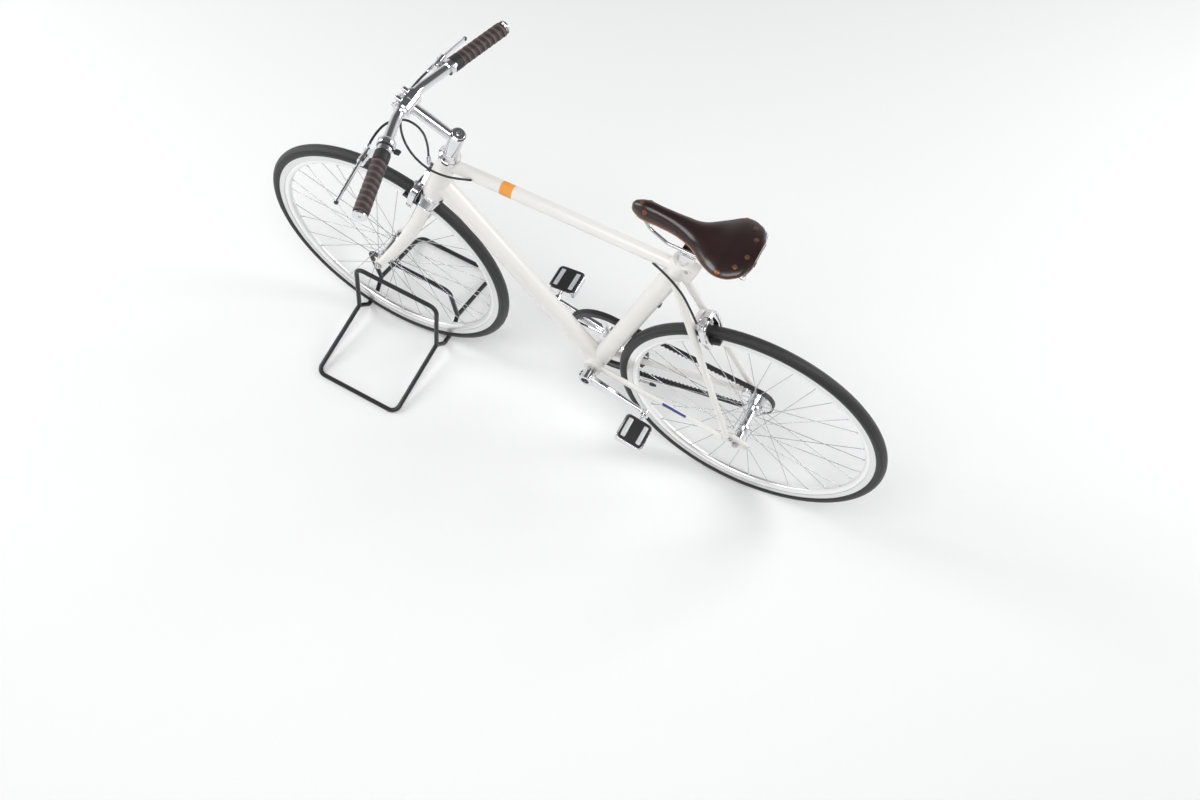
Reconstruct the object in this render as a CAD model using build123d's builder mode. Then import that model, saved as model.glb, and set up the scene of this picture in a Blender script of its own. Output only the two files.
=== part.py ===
"""A single-speed city bike with a toothed belt drive, parked in a bent-tube floor stand.

Millimetres. +X runs to the front wheel, +Y to the rider's left, +Z up. The origin lies on
the floor, half way between the two wheel axles.
"""
from build123d import *
from math import asin, cos, hypot, pi, radians, sin
import os

os.makedirs("parts", exist_ok=True)

# ---------------------------------------------------------------- driving dimensions
wheelbase = 988
rim_radius = 316
tyre_section_radius = 14
tyre_lift = 9
head_angle = 72
fork_rake = 47.5
fork_length = 360
head_tube_length = 165
bracket_x = -98
bracket_drop = 49
seat_angle = 74
seat_tube_length = 566

running_fit = 0.05
piece_gap = 0.3

# ---------------------------------------------------------------- reference points
tyre_radius = rim_radius + tyre_lift + tyre_section_radius
bracket_z = tyre_radius - bracket_drop
front_axle_at = Vector(wheelbase / 2, 0, tyre_radius)
rear_axle_at = Vector(-wheelbase / 2, 0, tyre_radius)
bracket_at = Vector(bracket_x, 0, bracket_z)

steer_up = Vector(-cos(radians(head_angle)), 0, sin(radians(head_angle)))
steer_forward = Vector(sin(radians(head_angle)), 0, cos(radians(head_angle)))
crown_at = front_axle_at + steer_up * fork_length - steer_forward * fork_rake
steering_axis = Axis(crown_at, steer_up)
steering_side = Plane(origin=crown_at, x_dir=steer_forward, z_dir=(0, -1, 0))

seat_up = Vector(-cos(radians(seat_angle)), 0, sin(radians(seat_angle)))
seat_forward = Vector(sin(radians(seat_angle)), 0, cos(radians(seat_angle)))
seat_axis = Axis(bracket_at, seat_up)
seat_side = Plane(origin=bracket_at, x_dir=seat_forward, z_dir=(0, -1, 0))


def on_steering(up, forward=0, side=0):
    """Point measured along the steering axis from the fork crown, then forward and left."""
    return crown_at + steer_up * up + steer_forward * forward + Vector(0, side, 0)


def on_seat_tube(up, forward=0, side=0):
    """Point measured along the seat tube from the bottom bracket, then forward and left."""
    return bracket_at + seat_up * up + seat_forward * forward + Vector(0, side, 0)


def across(start, end):
    """Plane at start that faces end, with its x axis level across the bike."""
    return Plane(origin=start, x_dir=(0, 1, 0), z_dir=end - start)


def wheel_plane(axle):
    """Radial section of a wheel: x is the radius, y is the width."""
    return Plane(origin=axle, x_dir=(1, 0, 0), z_dir=(0, 0, 1))


def mirrored(point):
    """The same point on the other side of the bike."""
    return Vector(point.X, -point.Y, point.Z)


# ---------------------------------------------------------------- frame: head tube
cup_height = 7
cup_radius = 27
head_lower_radius = 26
head_upper_radius = 23
steerer_radius = 14.3
head_bore_radius = 18
race_height = 5
head_bottom = race_height + piece_gap + cup_height
head_top = head_bottom + head_tube_length - 2 * cup_height

with BuildPart() as head_envelope:
    with BuildSketch(steering_side):
        with BuildLine():
            Polyline((0, head_bottom), (head_lower_radius, head_bottom), (head_lower_radius, head_bottom + 25))
            Line((head_lower_radius, head_bottom + 25), (head_upper_radius, head_top - 30))
            Polyline((head_upper_radius, head_top - 30), (head_upper_radius, head_top), (0, head_top), (0, head_bottom))
        make_face()
    revolve(axis=steering_axis)

with BuildPart() as head_tube:
    add(head_envelope.part)
    with BuildSketch(Plane(origin=on_steering(head_bottom), z_dir=steer_up)):
        Circle(head_bore_radius)
    extrude(amount=head_top - head_bottom, mode=Mode.SUBTRACT)
head_tube.part.label = "head_tube"
export_step(head_tube.part, "parts/head_tube.step")

# Bearing cups, one pressed into each end of the head tube.
with BuildPart() as headset_cups:
    for base in (head_bottom - cup_height, head_top):
        with BuildSketch(Plane(origin=on_steering(base), z_dir=steer_up)):
            Circle(cup_radius if base < head_bottom else head_upper_radius)
            Circle(steerer_radius + running_fit, mode=Mode.SUBTRACT)
        extrude(amount=cup_height)
headset_cups.part.label = "headset_cups"
export_step(headset_cups.part, "parts/headset_cups.step")

# ---------------------------------------------------------------- frame: bottom bracket and seat tube
shell_radius = 23
shell_width = 73
spindle_radius = 12
seat_tube_depth = 46
seat_tube_width = 32
seat_tube_setback = 3
seatpost_radius = 13.6
lug_height = 44
lug_radius = 21.5
clamp_radius = 8
clamp_setback = 19
clamp_width = 30

with BuildPart() as shell_envelope:
    with BuildSketch(Plane.XZ.offset(-shell_width / 2)):
        with Locations((bracket_x, bracket_z)):
            Circle(shell_radius)
    extrude(amount=shell_width)

with BuildPart() as bottom_bracket_shell:
    add(shell_envelope.part)
    with BuildSketch(Plane.XZ.offset(-shell_width / 2)):
        with Locations((bracket_x, bracket_z)):
            Circle(spindle_radius + running_fit)
    extrude(amount=shell_width, mode=Mode.SUBTRACT)
bottom_bracket_shell.part.label = "bottom_bracket_shell"
export_step(bottom_bracket_shell.part, "parts/bottom_bracket_shell.step")

with BuildPart() as seat_envelope:
    with BuildSketch(Plane(origin=on_seat_tube(0), x_dir=seat_forward, z_dir=seat_up)):
        with Locations((-seat_tube_setback, 0)):
            Ellipse(seat_tube_depth / 2, seat_tube_width / 2)
    extrude(amount=seat_tube_length - lug_height / 2)
    with BuildSketch(Plane(origin=on_seat_tube(seat_tube_length - lug_height), x_dir=seat_forward, z_dir=seat_up)):
        Circle(lug_radius)
        with Locations((-lug_radius - 4, 0)):
            RectangleRounded(30, 26, 6)
    extrude(amount=lug_height)
    clamp_at = on_seat_tube(seat_tube_length - 9, -clamp_setback, -clamp_width / 2)
    with BuildSketch(Plane(origin=clamp_at, z_dir=(0, 1, 0))):
        Circle(clamp_radius)
    extrude(amount=clamp_width)

with BuildPart() as seat_tube:
    add(seat_envelope.part)
    add(shell_envelope.part, mode=Mode.SUBTRACT)
    with BuildSketch(Plane(origin=on_seat_tube(seat_tube_length - 120), z_dir=seat_up)):
        Circle(seatpost_radius + running_fit)
    extrude(amount=120, mode=Mode.SUBTRACT)
seat_tube.part.label = "seat_tube"
export_step(seat_tube.part, "parts/seat_tube.step")

# ---------------------------------------------------------------- frame: top tube and down tube
top_tube_radius = 14.5
top_tube_drop = 24
down_tube_radius = 22
down_tube_rise = 48

top_tube_front = on_steering(head_top - top_tube_drop)
top_tube_rear = on_seat_tube(seat_tube_length - lug_height / 2 - 6)
with BuildPart() as top_tube:
    with BuildSketch(across(top_tube_front, top_tube_rear)):
        Circle(top_tube_radius)
    extrude(amount=(top_tube_rear - top_tube_front).length)
    add(head_envelope.part, mode=Mode.SUBTRACT)
    add(seat_envelope.part, mode=Mode.SUBTRACT)
top_tube.part.label = "top_tube"
export_step(top_tube.part, "parts/top_tube.step")

down_tube_front = on_steering(head_bottom + down_tube_rise)
with BuildPart() as down_tube:
    with BuildSketch(across(down_tube_front, bracket_at)):
        Circle(down_tube_radius)
    extrude(amount=(bracket_at - down_tube_front).length)
    add(head_envelope.part, mode=Mode.SUBTRACT)
    add(shell_envelope.part, mode=Mode.SUBTRACT)
    add(seat_envelope.part, mode=Mode.SUBTRACT)
down_tube.part.label = "down_tube"
export_step(down_tube.part, "parts/down_tube.step")

# ---------------------------------------------------------------- frame: stays and dropouts
hub_spacing = 135
dropout_thickness = 7
dropout_face = hub_spacing / 2
dropout_middle = dropout_face + dropout_thickness / 2
axle_radius = 5
chainstay_front = Vector(bracket_x - 12, 25, bracket_z)
chainstay_rear = Vector(rear_axle_at.X + 34, dropout_middle, tyre_radius - 5)
seatstay_top = on_seat_tube(seat_tube_length - 62, -14, 15)
seatstay_foot = Vector(rear_axle_at.X + 26, dropout_middle + 5, tyre_radius + 16)
stay_end_radius = 7

with BuildPart() as chainstay_left:
    with BuildSketch(across(chainstay_front, chainstay_rear)):
        Ellipse(6.5, 11)
    with BuildSketch(across(chainstay_rear, chainstay_rear + (chainstay_rear - chainstay_front))):
        Ellipse(6, stay_end_radius + 1)
    loft()
    add(shell_envelope.part, mode=Mode.SUBTRACT)
    add(seat_envelope.part, mode=Mode.SUBTRACT)
chainstay_left.part.label = "chainstay_left"
export_step(chainstay_left.part, "parts/chainstay_left.step")

with BuildPart() as chainstay_right:
    add(chainstay_left.part)
    mirror(about=Plane.XZ, mode=Mode.REPLACE)
chainstay_right.part.label = "chainstay_right"
export_step(chainstay_right.part, "parts/chainstay_right.step")

with BuildPart() as seatstay_left:
    with BuildSketch(across(seatstay_top, seatstay_foot)):
        Circle(9)
    with BuildSketch(across(seatstay_foot, seatstay_foot + (seatstay_foot - seatstay_top))):
        Circle(stay_end_radius)
    loft()
    add(seat_envelope.part, mode=Mode.SUBTRACT)
    add(chainstay_left.part, mode=Mode.SUBTRACT)
seatstay_left.part.label = "seatstay_left"
export_step(seatstay_left.part, "parts/seatstay_left.step")

with BuildPart() as seatstay_right:
    add(seatstay_left.part)
    mirror(about=Plane.XZ, mode=Mode.REPLACE)
seatstay_right.part.label = "seatstay_right"
export_step(seatstay_right.part, "parts/seatstay_right.step")

with BuildPart() as rear_dropouts:
    for side in (1, -1):
        with BuildSketch(Plane.XZ.offset(-side * dropout_middle)):
            with BuildLine():
                Polyline(
                    (rear_axle_at.X + 40, tyre_radius - 14),
                    (rear_axle_at.X + 34, tyre_radius + 20),
                    (rear_axle_at.X + 14, tyre_radius + 26),
                    (rear_axle_at.X - 30, tyre_radius + 14),
                    (rear_axle_at.X - 30, tyre_radius - 16),
                    close=True,
                )
            make_face()
            with Locations((rear_axle_at.X - 16, tyre_radius)):
                Rectangle(32 + 2 * axle_radius, 2 * axle_radius + 0.2, mode=Mode.SUBTRACT)
        extrude(amount=dropout_thickness / 2, both=True)
    for stay in (chainstay_left, chainstay_right, seatstay_left, seatstay_right):
        add(stay.part, mode=Mode.SUBTRACT)
rear_dropouts.part.label = "rear_dropouts"
export_step(rear_dropouts.part, "parts/rear_dropouts.step")

# Brake bridge between the seatstays.
bridge_radius = 7
bridge_reach = tyre_radius + 20.7


def stay_share(reach):
    """Share of the seatstay's length at which its centre line lies this far from the axle."""
    run = Vector(seatstay_foot.X - seatstay_top.X, 0, seatstay_foot.Z - seatstay_top.Z)
    away = Vector(seatstay_top.X, 0, seatstay_top.Z) - rear_axle_at
    half = -away.dot(run)
    return (half - (half ** 2 - run.dot(run) * (away.dot(away) - reach ** 2)) ** 0.5) / run.dot(run)


bridge_at = seatstay_top + (seatstay_foot - seatstay_top) * stay_share(bridge_reach)
with BuildPart() as brake_bridge:
    with BuildSketch(Plane.XZ.offset(-bridge_at.Y)):
        with Locations((bridge_at.X, bridge_at.Z)):
            Circle(bridge_radius)
    extrude(amount=2 * bridge_at.Y)
    add(seatstay_left.part, mode=Mode.SUBTRACT)
    add(seatstay_right.part, mode=Mode.SUBTRACT)
brake_bridge.part.label = "brake_bridge"
export_step(brake_bridge.part, "parts/brake_bridge.step")

# ---------------------------------------------------------------- wheels
rim_depth = 28
rim_half_width = 10.5
rim_inner_radius = rim_radius - rim_depth
bead_gap = 0.1
spoke_radius = 0.9
spokes_per_wheel = 32
spoke_lean = 67.5
spoke_stagger = 3.2


def tyre(axle):
    """Round tyre section, flat where it sits on the rim."""
    with BuildPart() as body:
        with BuildSketch(wheel_plane(axle)):
            with Locations((tyre_radius - tyre_section_radius, 0)):
                Circle(tyre_section_radius)
            with Locations((rim_radius + bead_gap - 20, 0)):
                Rectangle(40, 60, mode=Mode.SUBTRACT)
        revolve(axis=Axis(axle, (0, 1, 0)))
    return body


def rim(axle):
    """Rim section: flat braking flanks, then a rounded spoke bed."""
    with BuildPart() as body:
        with BuildSketch(wheel_plane(axle)):
            with BuildLine():
                brake_flank = 14
                Polyline(
                    (rim_radius - brake_flank, rim_half_width - 1),
                    (rim_radius - brake_flank, rim_half_width),
                    (rim_radius, rim_half_width),
                    (rim_radius, -rim_half_width),
                    (rim_radius - brake_flank, -rim_half_width),
                    (rim_radius - brake_flank, -rim_half_width + 1),
                )
                ThreePointArc(
                    (rim_radius - brake_flank, -rim_half_width + 1),
                    (rim_inner_radius, 0),
                    (rim_radius - brake_flank, rim_half_width - 1),
                )
            make_face()
        revolve(axis=Axis(axle, (0, 1, 0)))
    return body


def hub(axle, flange_left, flange_right, flange_radius, end_left, end_right):
    """Hub shell with two spoke flanges and a bore for the axle."""
    with BuildPart() as body:
        with BuildSketch(wheel_plane(axle)):
            with Locations((0, (end_left - end_right) / 2)):
                Rectangle(2 * 13, end_left + end_right)
            for offset, inward in ((flange_left, -1), (-flange_right, 1)):
                with Locations((0, offset)):
                    Rectangle(2 * flange_radius, 3)
                with Locations((0, offset + inward * 3)):
                    Rectangle(2 * 14, 4)
            split(bisect_by=Plane.YZ.offset(axle_radius + running_fit), keep=Keep.TOP)
        revolve(axis=Axis(axle, (0, 1, 0)))
    return body


def spokes(axle, flange_left, flange_right, flange_radius):
    """Crossed spokes; every other one leaves the outer side of its flange."""
    per_flange = spokes_per_wheel // 2
    step = 360 / per_flange
    with BuildPart() as body:
        for side, flange in ((1, flange_left), (-1, -flange_right)):
            for k in range(per_flange):
                outer = 1 if k % 2 else -1
                hub_turn = k * step + (0 if side > 0 else step / 2)
                rim_turn = hub_turn + outer * spoke_lean
                foot = Vector(
                    axle.X + (flange_radius - 3) * cos(radians(hub_turn)),
                    flange + side * outer * spoke_stagger,
                    axle.Z + (flange_radius - 3) * sin(radians(hub_turn)),
                )
                head = Vector(
                    axle.X + (rim_inner_radius - 0.3) * cos(radians(rim_turn)),
                    side * 2,
                    axle.Z + (rim_inner_radius - 0.3) * sin(radians(rim_turn)),
                )
                with BuildSketch(Plane(origin=foot, z_dir=head - foot)):
                    Circle(spoke_radius)
                extrude(amount=(head - foot).length)
    return body


front_flange = 27
front_flange_radius = 20
rear_flange_left = 34
rear_flange_right = 26
rear_flange_radius = 24
front_hub_spacing = 100

front_tyre = tyre(front_axle_at)
front_tyre.part.label = "front_tyre"
export_step(front_tyre.part, "parts/front_tyre.step")
rear_tyre = tyre(rear_axle_at)
rear_tyre.part.label = "rear_tyre"
export_step(rear_tyre.part, "parts/rear_tyre.step")
front_rim = rim(front_axle_at)
front_rim.part.label = "front_rim"
export_step(front_rim.part, "parts/front_rim.step")
rear_rim = rim(rear_axle_at)
rear_rim.part.label = "rear_rim"
export_step(rear_rim.part, "parts/rear_rim.step")
front_hub = hub(front_axle_at, front_flange, front_flange, front_flange_radius, 44, 44)
front_hub.part.label = "front_hub"
export_step(front_hub.part, "parts/front_hub.step")
front_spokes = spokes(front_axle_at, front_flange, front_flange, front_flange_radius)
front_spokes.part.label = "front_spokes"
export_step(front_spokes.part, "parts/front_spokes.step")

# Rear hub: a freewheeling sprocket runs on the right end of the same axle.
rear_hub_left_end = 62
rear_hub_right_end = 38
belt_line = 54
belt_width = 12
rear_hub = hub(rear_axle_at, rear_flange_left, rear_flange_right, rear_flange_radius,
               rear_hub_left_end, rear_hub_right_end)
rear_hub.part.label = "rear_hub"
export_step(rear_hub.part, "parts/rear_hub.step")
rear_spokes = spokes(rear_axle_at, rear_flange_left, rear_flange_right, rear_flange_radius)
rear_spokes.part.label = "rear_spokes"
export_step(rear_spokes.part, "parts/rear_spokes.step")

nut_width = 15
nut_height = 7


def axle_with_nuts(axle, half_spacing, plate, spacer_ends):
    """Axle through both dropouts, with a hexagon nut outside each and a spacer inside."""
    with BuildPart() as body:
        outer = half_spacing + plate
        with BuildSketch(Plane.XZ.offset(-outer - nut_height - 3)):
            with Locations((axle.X, axle.Z)):
                Circle(axle_radius)
        extrude(amount=2 * (outer + nut_height + 3))
        for side, spacer_end in ((1, spacer_ends[0]), (-1, spacer_ends[1])):
            with BuildSketch(Plane(origin=axle + Vector(0, side * outer, 0), z_dir=(0, side, 0))):
                RegularPolygon(nut_width / 2, 6, major_radius=False)
                Circle(axle_radius - 1, mode=Mode.SUBTRACT)
            extrude(amount=nut_height)
            with BuildSketch(Plane(origin=axle + Vector(0, side * spacer_end, 0), z_dir=(0, side, 0))):
                Circle(8)
                Circle(axle_radius - 1, mode=Mode.SUBTRACT)
            extrude(amount=half_spacing - spacer_end)
    return body


rear_axle = axle_with_nuts(rear_axle_at, hub_spacing / 2, dropout_thickness,
                           (rear_hub_left_end + piece_gap, hub_spacing / 2 - 4))
rear_axle.part.label = "rear_axle"
export_step(rear_axle.part, "parts/rear_axle.step")

# ---------------------------------------------------------------- belt drive
belt_pitch = 11
ring_teeth = 63
sprocket_teeth = 24
tooth_height = 3.2
belt_back = 2.2
wrap_gap = 0.4
ring_radius = ring_teeth * belt_pitch / (2 * pi)
sprocket_radius = sprocket_teeth * belt_pitch / (2 * pi)
centre_distance = hypot(bracket_at.X - rear_axle_at.X, bracket_at.Z - rear_axle_at.Z)
to_sprocket = Vector(rear_axle_at.X - bracket_at.X, 0, rear_axle_at.Z - bracket_at.Z).normalized()
square_up = Vector(to_sprocket.Z, 0, -to_sprocket.X)
belt_taper = asin((ring_radius - sprocket_radius) / centre_distance)


def belt_outline(grow):
    """Closed belt path, grown outwards: two wraps and two straight runs, as (x, z) sketch lines."""
    normals = [to_sprocket * sin(belt_taper) + square_up * (s * cos(belt_taper)) for s in (1, -1)]
    ring_top, ring_low = [bracket_at + n * (ring_radius + grow) for n in normals]
    hub_top, hub_low = [rear_axle_at + n * (sprocket_radius + grow) for n in normals]
    ring_front = bracket_at - to_sprocket * (ring_radius + grow)
    hub_back = rear_axle_at + to_sprocket * (sprocket_radius + grow)
    flat = [(p.X, p.Z) for p in (ring_top, ring_front, ring_low, hub_low, hub_back, hub_top)]
    ThreePointArc(flat[0], flat[1], flat[2])
    Line(flat[2], flat[3])
    ThreePointArc(flat[3], flat[4], flat[5])
    Line(flat[5], flat[0])
    return flat


belt_plane = Plane.XZ.offset(belt_line - belt_width / 2)
with BuildPart() as drive_belt:
    with BuildSketch(belt_plane):
        with BuildLine():
            outline = belt_outline(belt_back)
        make_face()
        with BuildLine(mode=Mode.PRIVATE) as inner_loop:
            belt_outline(0)
        make_face(inner_loop.edges(), mode=Mode.SUBTRACT)
        # Teeth stand on the free runs, from where they clear the ring to where they clear the sprocket.
        for side in (1, -1):
            normal = to_sprocket * sin(belt_taper) + square_up * (side * cos(belt_taper))
            run_start = bracket_at + normal * ring_radius
            run_end = rear_axle_at + normal * sprocket_radius
            run = (run_end - run_start).normalized()
            clear_of_ring = (2 * ring_radius * (tooth_height + wrap_gap)) ** 0.5 + belt_pitch / 2
            clear_of_sprocket = (2 * sprocket_radius * (tooth_height + wrap_gap)) ** 0.5 + belt_pitch / 2
            free = (run_end - run_start).length - clear_of_ring - clear_of_sprocket
            for k in range(int(free // belt_pitch) + 1):
                at = run_start + run * (clear_of_ring + k * belt_pitch) - normal * (tooth_height / 2)
                turn = Vector(run.X, run.Z, 0).get_signed_angle(Vector(1, 0, 0))
                with Locations((at.X, at.Z)):
                    RectangleRounded(belt_pitch * 0.5, tooth_height + 0.6, 1.2, rotation=-turn)
    extrude(amount=belt_width)
drive_belt.part.label = "drive_belt"
export_step(drive_belt.part, "parts/drive_belt.step")


def toothed_blank(axle, teeth, radius, width):
    """Rim of a belt wheel: one round groove for each belt tooth, tips just inside the belt."""
    with Locations((axle.X, axle.Z)):
        Circle(radius - wrap_gap)
        with PolarLocations(radius + 0.4, teeth):
            Circle(tooth_height, mode=Mode.SUBTRACT)


ring_width = 10
ring_inner_radius = 95
with BuildPart() as belt_ring:
    with BuildSketch(Plane.XZ.offset(belt_line - ring_width / 2)):
        toothed_blank(bracket_at, ring_teeth, ring_radius, ring_width)
        with Locations((bracket_at.X, bracket_at.Z)):
            Circle(ring_inner_radius, mode=Mode.SUBTRACT)
    extrude(amount=ring_width)
belt_ring.part.label = "belt_ring"
export_step(belt_ring.part, "parts/belt_ring.step")

with BuildPart() as rear_sprocket:
    with BuildSketch(Plane.XZ.offset(belt_line - ring_width / 2)):
        toothed_blank(rear_axle_at, sprocket_teeth, sprocket_radius, ring_width)
    extrude(amount=ring_width)
    with BuildSketch(Plane.XZ.offset(rear_hub_right_end + piece_gap)):
        with Locations((rear_axle_at.X, rear_axle_at.Z)):
            Circle(20)
    extrude(amount=belt_line + ring_width / 2 + 2 - rear_hub_right_end)
    with BuildSketch(Plane.XZ.offset(0)):
        with Locations((rear_axle_at.X, rear_axle_at.Z)):
            Circle(axle_radius + running_fit)
    extrude(amount=100, mode=Mode.SUBTRACT)
rear_sprocket.part.label = "rear_sprocket"
export_step(rear_sprocket.part, "parts/rear_sprocket.step")

# ---------------------------------------------------------------- cranks and pedals
crank_length = 165
crank_droop = 10
arm_inner_y = 56
arm_thickness = 12
arm_root_thickness = 17
arm_flare = 8
arm_boss_radius = 19.5
arm_boss_length = 22
drive_side_step = 10
arm_eye_radius = 13
pedal_pin_radius = 4.5
crank_dir = Vector(-cos(radians(crank_droop)), 0, -sin(radians(crank_droop)))
left_pedal_at = bracket_at + crank_dir * crank_length
right_pedal_at = bracket_at - crank_dir * crank_length


def arm_step(side):
    """Extra distance outwards of the arm on the belt's side."""
    return drive_side_step if side < 0 else 0


def crank_arm(eye, side):
    """Arm from the spindle to the pedal eye, flaring outwards."""
    with BuildPart() as body:
        hub_y = side * (arm_inner_y + arm_step(side) + arm_thickness / 2)
        eye_y = hub_y + side * arm_flare
        root = bracket_at + Vector(0, hub_y, 0)
        tip = eye + Vector(0, eye_y, 0)
        with BuildSketch(Plane(origin=bracket_at + Vector(0, side * (arm_inner_y - 4), 0), z_dir=(0, side, 0))):
            Circle(arm_boss_radius)
        extrude(amount=arm_boss_length + arm_step(side))
        with BuildSketch(Plane(origin=root, x_dir=(0, 1, 0), z_dir=tip - root)):
            RectangleRounded(arm_root_thickness, 31, 5)
        with BuildSketch(Plane(origin=tip, x_dir=(0, 1, 0), z_dir=tip - root)):
            RectangleRounded(arm_thickness - 2, 21, 4)
        loft()
        with BuildSketch(Plane(origin=tip - Vector(0, side * arm_thickness / 2, 0), z_dir=(0, side, 0))):
            Circle(arm_eye_radius)
        extrude(amount=arm_thickness)
        with BuildSketch(Plane(origin=Vector(eye.X, 0, eye.Z), z_dir=(0, side, 0))):
            Circle(pedal_pin_radius + running_fit)
        extrude(amount=120, mode=Mode.SUBTRACT)
        with BuildSketch(Plane(origin=bracket_at, z_dir=(0, side, 0))):
            Circle(spindle_radius - 1)
        extrude(amount=120, mode=Mode.SUBTRACT)
    return body


crank_arm_left = crank_arm(left_pedal_at, 1)
crank_arm_left.part.label = "crank_arm_left"
export_step(crank_arm_left.part, "parts/crank_arm_left.step")

with BuildPart() as crank_arm_right:
    add(crank_arm(right_pedal_at, -1).part)
    with BuildSketch(Plane.XZ.offset(belt_line + ring_width / 2)):
        with Locations((bracket_at.X, bracket_at.Z)):
            Circle(26)
            with PolarLocations(ring_inner_radius / 2, 5):
                Rectangle(ring_inner_radius + 8, 14)
            Circle(spindle_radius - 1, mode=Mode.SUBTRACT)
    extrude(amount=5)
crank_arm_right.part.label = "crank_arm_right"
export_step(crank_arm_right.part, "parts/crank_arm_right.step")

with BuildPart() as crank_spindle:
    spindle_end = arm_inner_y - 4 - 0.02
    with BuildSketch(Plane.XZ.offset(-spindle_end)):
        with Locations((bracket_at.X, bracket_at.Z)):
            Circle(spindle_radius)
            Circle(spindle_radius - 2.5, mode=Mode.SUBTRACT)
    extrude(amount=2 * spindle_end)
crank_spindle.part.label = "crank_spindle"
export_step(crank_spindle.part, "parts/crank_spindle.step")

pedal_length = 74
pedal_width = 72
pedal_height = 24
pedal_gap = 18
plate_length = 65
plate_width = 68
plate_thickness = 2
slot_width = 13
slot_length = 54
slot_spread = 21
left_pedal_tilt = 12
right_pedal_tilt = -9


def pedal_plane(eye, side, tilt):
    """Middle plane of a pedal, tipped about its pin, with x running forwards."""
    middle_y = arm_inner_y + arm_step(side) + arm_thickness + arm_flare + pedal_gap + pedal_width / 2
    return Plane(
        origin=Vector(eye.X, side * middle_y, eye.Z),
        x_dir=(cos(radians(tilt)), 0, sin(radians(tilt))),
        z_dir=(-sin(radians(tilt)), 0, cos(radians(tilt))),
    )


def pedal(eye, side, tilt):
    """Pedal body with two raised grip bars on each face, its flanged pin reaching into the arm."""
    level = pedal_plane(eye, side, tilt)
    core = pedal_height / 2 - plate_thickness
    eye_face = level.origin.Y - side * (pedal_width / 2 + pedal_gap)
    with BuildPart() as body:
        with BuildSketch(level):
            RectangleRounded(pedal_length, pedal_width, 12)
        extrude(amount=core, both=True)
        fillet(body.edges().group_by(Axis((0, 0, 0), level.z_dir))[-1], 1.5)
        fillet(body.edges().group_by(Axis((0, 0, 0), level.z_dir))[0], 1.5)
        with BuildSketch(level):
            with Locations((slot_spread, 0), (-slot_spread, 0)):
                RectangleRounded(slot_width - 2 * piece_gap, slot_length - 2 * piece_gap, 5)
        extrude(amount=pedal_height / 2, both=True)
        with BuildSketch(Plane(origin=Vector(eye.X, eye_face - side * arm_thickness, eye.Z), z_dir=(0, side, 0))):
            Circle(pedal_pin_radius)
        extrude(amount=arm_thickness + pedal_gap + 4)
        with BuildSketch(Plane(origin=Vector(eye.X, eye_face + side, eye.Z), z_dir=(0, side, 0))):
            Circle(8)
        extrude(amount=5)
    return body


def pedal_plates(eye, side, tilt):
    """Tread plate on each face of a pedal, open round the grip bars."""
    level = pedal_plane(eye, side, tilt)
    with BuildPart() as body:
        for face in (1, -1):
            with BuildSketch(level.offset(face * (pedal_height / 2 - plate_thickness + 0.02))):
                RectangleRounded(plate_length, plate_width, 12)
                with Locations((slot_spread, 0), (-slot_spread, 0)):
                    RectangleRounded(slot_width, slot_length, 5.3, mode=Mode.SUBTRACT)
            extrude(amount=face * plate_thickness)
    return body


pedal_left = pedal(left_pedal_at, 1, left_pedal_tilt)
pedal_left.part.label = "pedal_left"
export_step(pedal_left.part, "parts/pedal_left.step")
pedal_right = pedal(right_pedal_at, -1, right_pedal_tilt)
pedal_right.part.label = "pedal_right"
export_step(pedal_right.part, "parts/pedal_right.step")
pedal_plates_left = pedal_plates(left_pedal_at, 1, left_pedal_tilt)
pedal_plates_left.part.label = "pedal_plates_left"
export_step(pedal_plates_left.part, "parts/pedal_plates_left.step")
pedal_plates_right = pedal_plates(right_pedal_at, -1, right_pedal_tilt)
pedal_plates_right.part.label = "pedal_plates_right"
export_step(pedal_plates_right.part, "parts/pedal_plates_right.step")

# ---------------------------------------------------------------- fork
crown_height = 15
crown_spread = 31.5
socket_depth = 12
socket_wall = 1.5
blade_depth = 33
blade_width = 18
blade_bow = 11.5
fork_plate = 6
fork_plate_y = front_hub_spacing / 2 + fork_plate / 2
stem_top = 255

with BuildPart() as crown_race:
    with BuildSketch(Plane(origin=on_steering(0.02), z_dir=steer_up)):
        Circle(cup_radius)
        Circle(steerer_radius + running_fit, mode=Mode.SUBTRACT)
    extrude(amount=race_height)
crown_race.part.label = "crown_race"
export_step(crown_race.part, "parts/crown_race.step")

blade_top = on_steering(1 - crown_height, 0, crown_spread)
blade_foot = front_axle_at + Vector(-4, fork_plate_y, 9)


def blade_plane(share):
    """Section plane of the left blade, bowed back from the straight line between its ends."""
    straight = blade_foot - blade_top
    bow = steer_forward * blade_bow * 4
    return Plane(
        origin=blade_top + straight * share - bow * share * (1 - share),
        x_dir=(0, 1, 0),
        z_dir=straight - bow * (1 - 2 * share),
    )


with BuildPart() as fork_crown:
    with BuildSketch(Plane(origin=on_steering(0), x_dir=(0, 1, 0), z_dir=steer_up)):
        RectangleRounded(2 * cup_radius, 2 * cup_radius, cup_radius - 0.5)
    with BuildSketch(Plane(origin=on_steering(-crown_height), x_dir=(0, 1, 0), z_dir=steer_up)):
        RectangleRounded(2 * crown_spread + 22, 37, 17)
    loft()
    with BuildSketch(blade_plane(0)):
        Ellipse(blade_width / 2 + socket_wall, blade_depth / 2 + socket_wall)
    extrude(amount=socket_depth)
    mirror(about=Plane.XZ)
    with BuildSketch(Plane(origin=on_steering(0), z_dir=steer_up)):
        Circle(steerer_radius)
    extrude(amount=stem_top - 2)
fork_crown.part.label = "fork_crown"
export_step(fork_crown.part, "parts/fork_crown.step")

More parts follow.
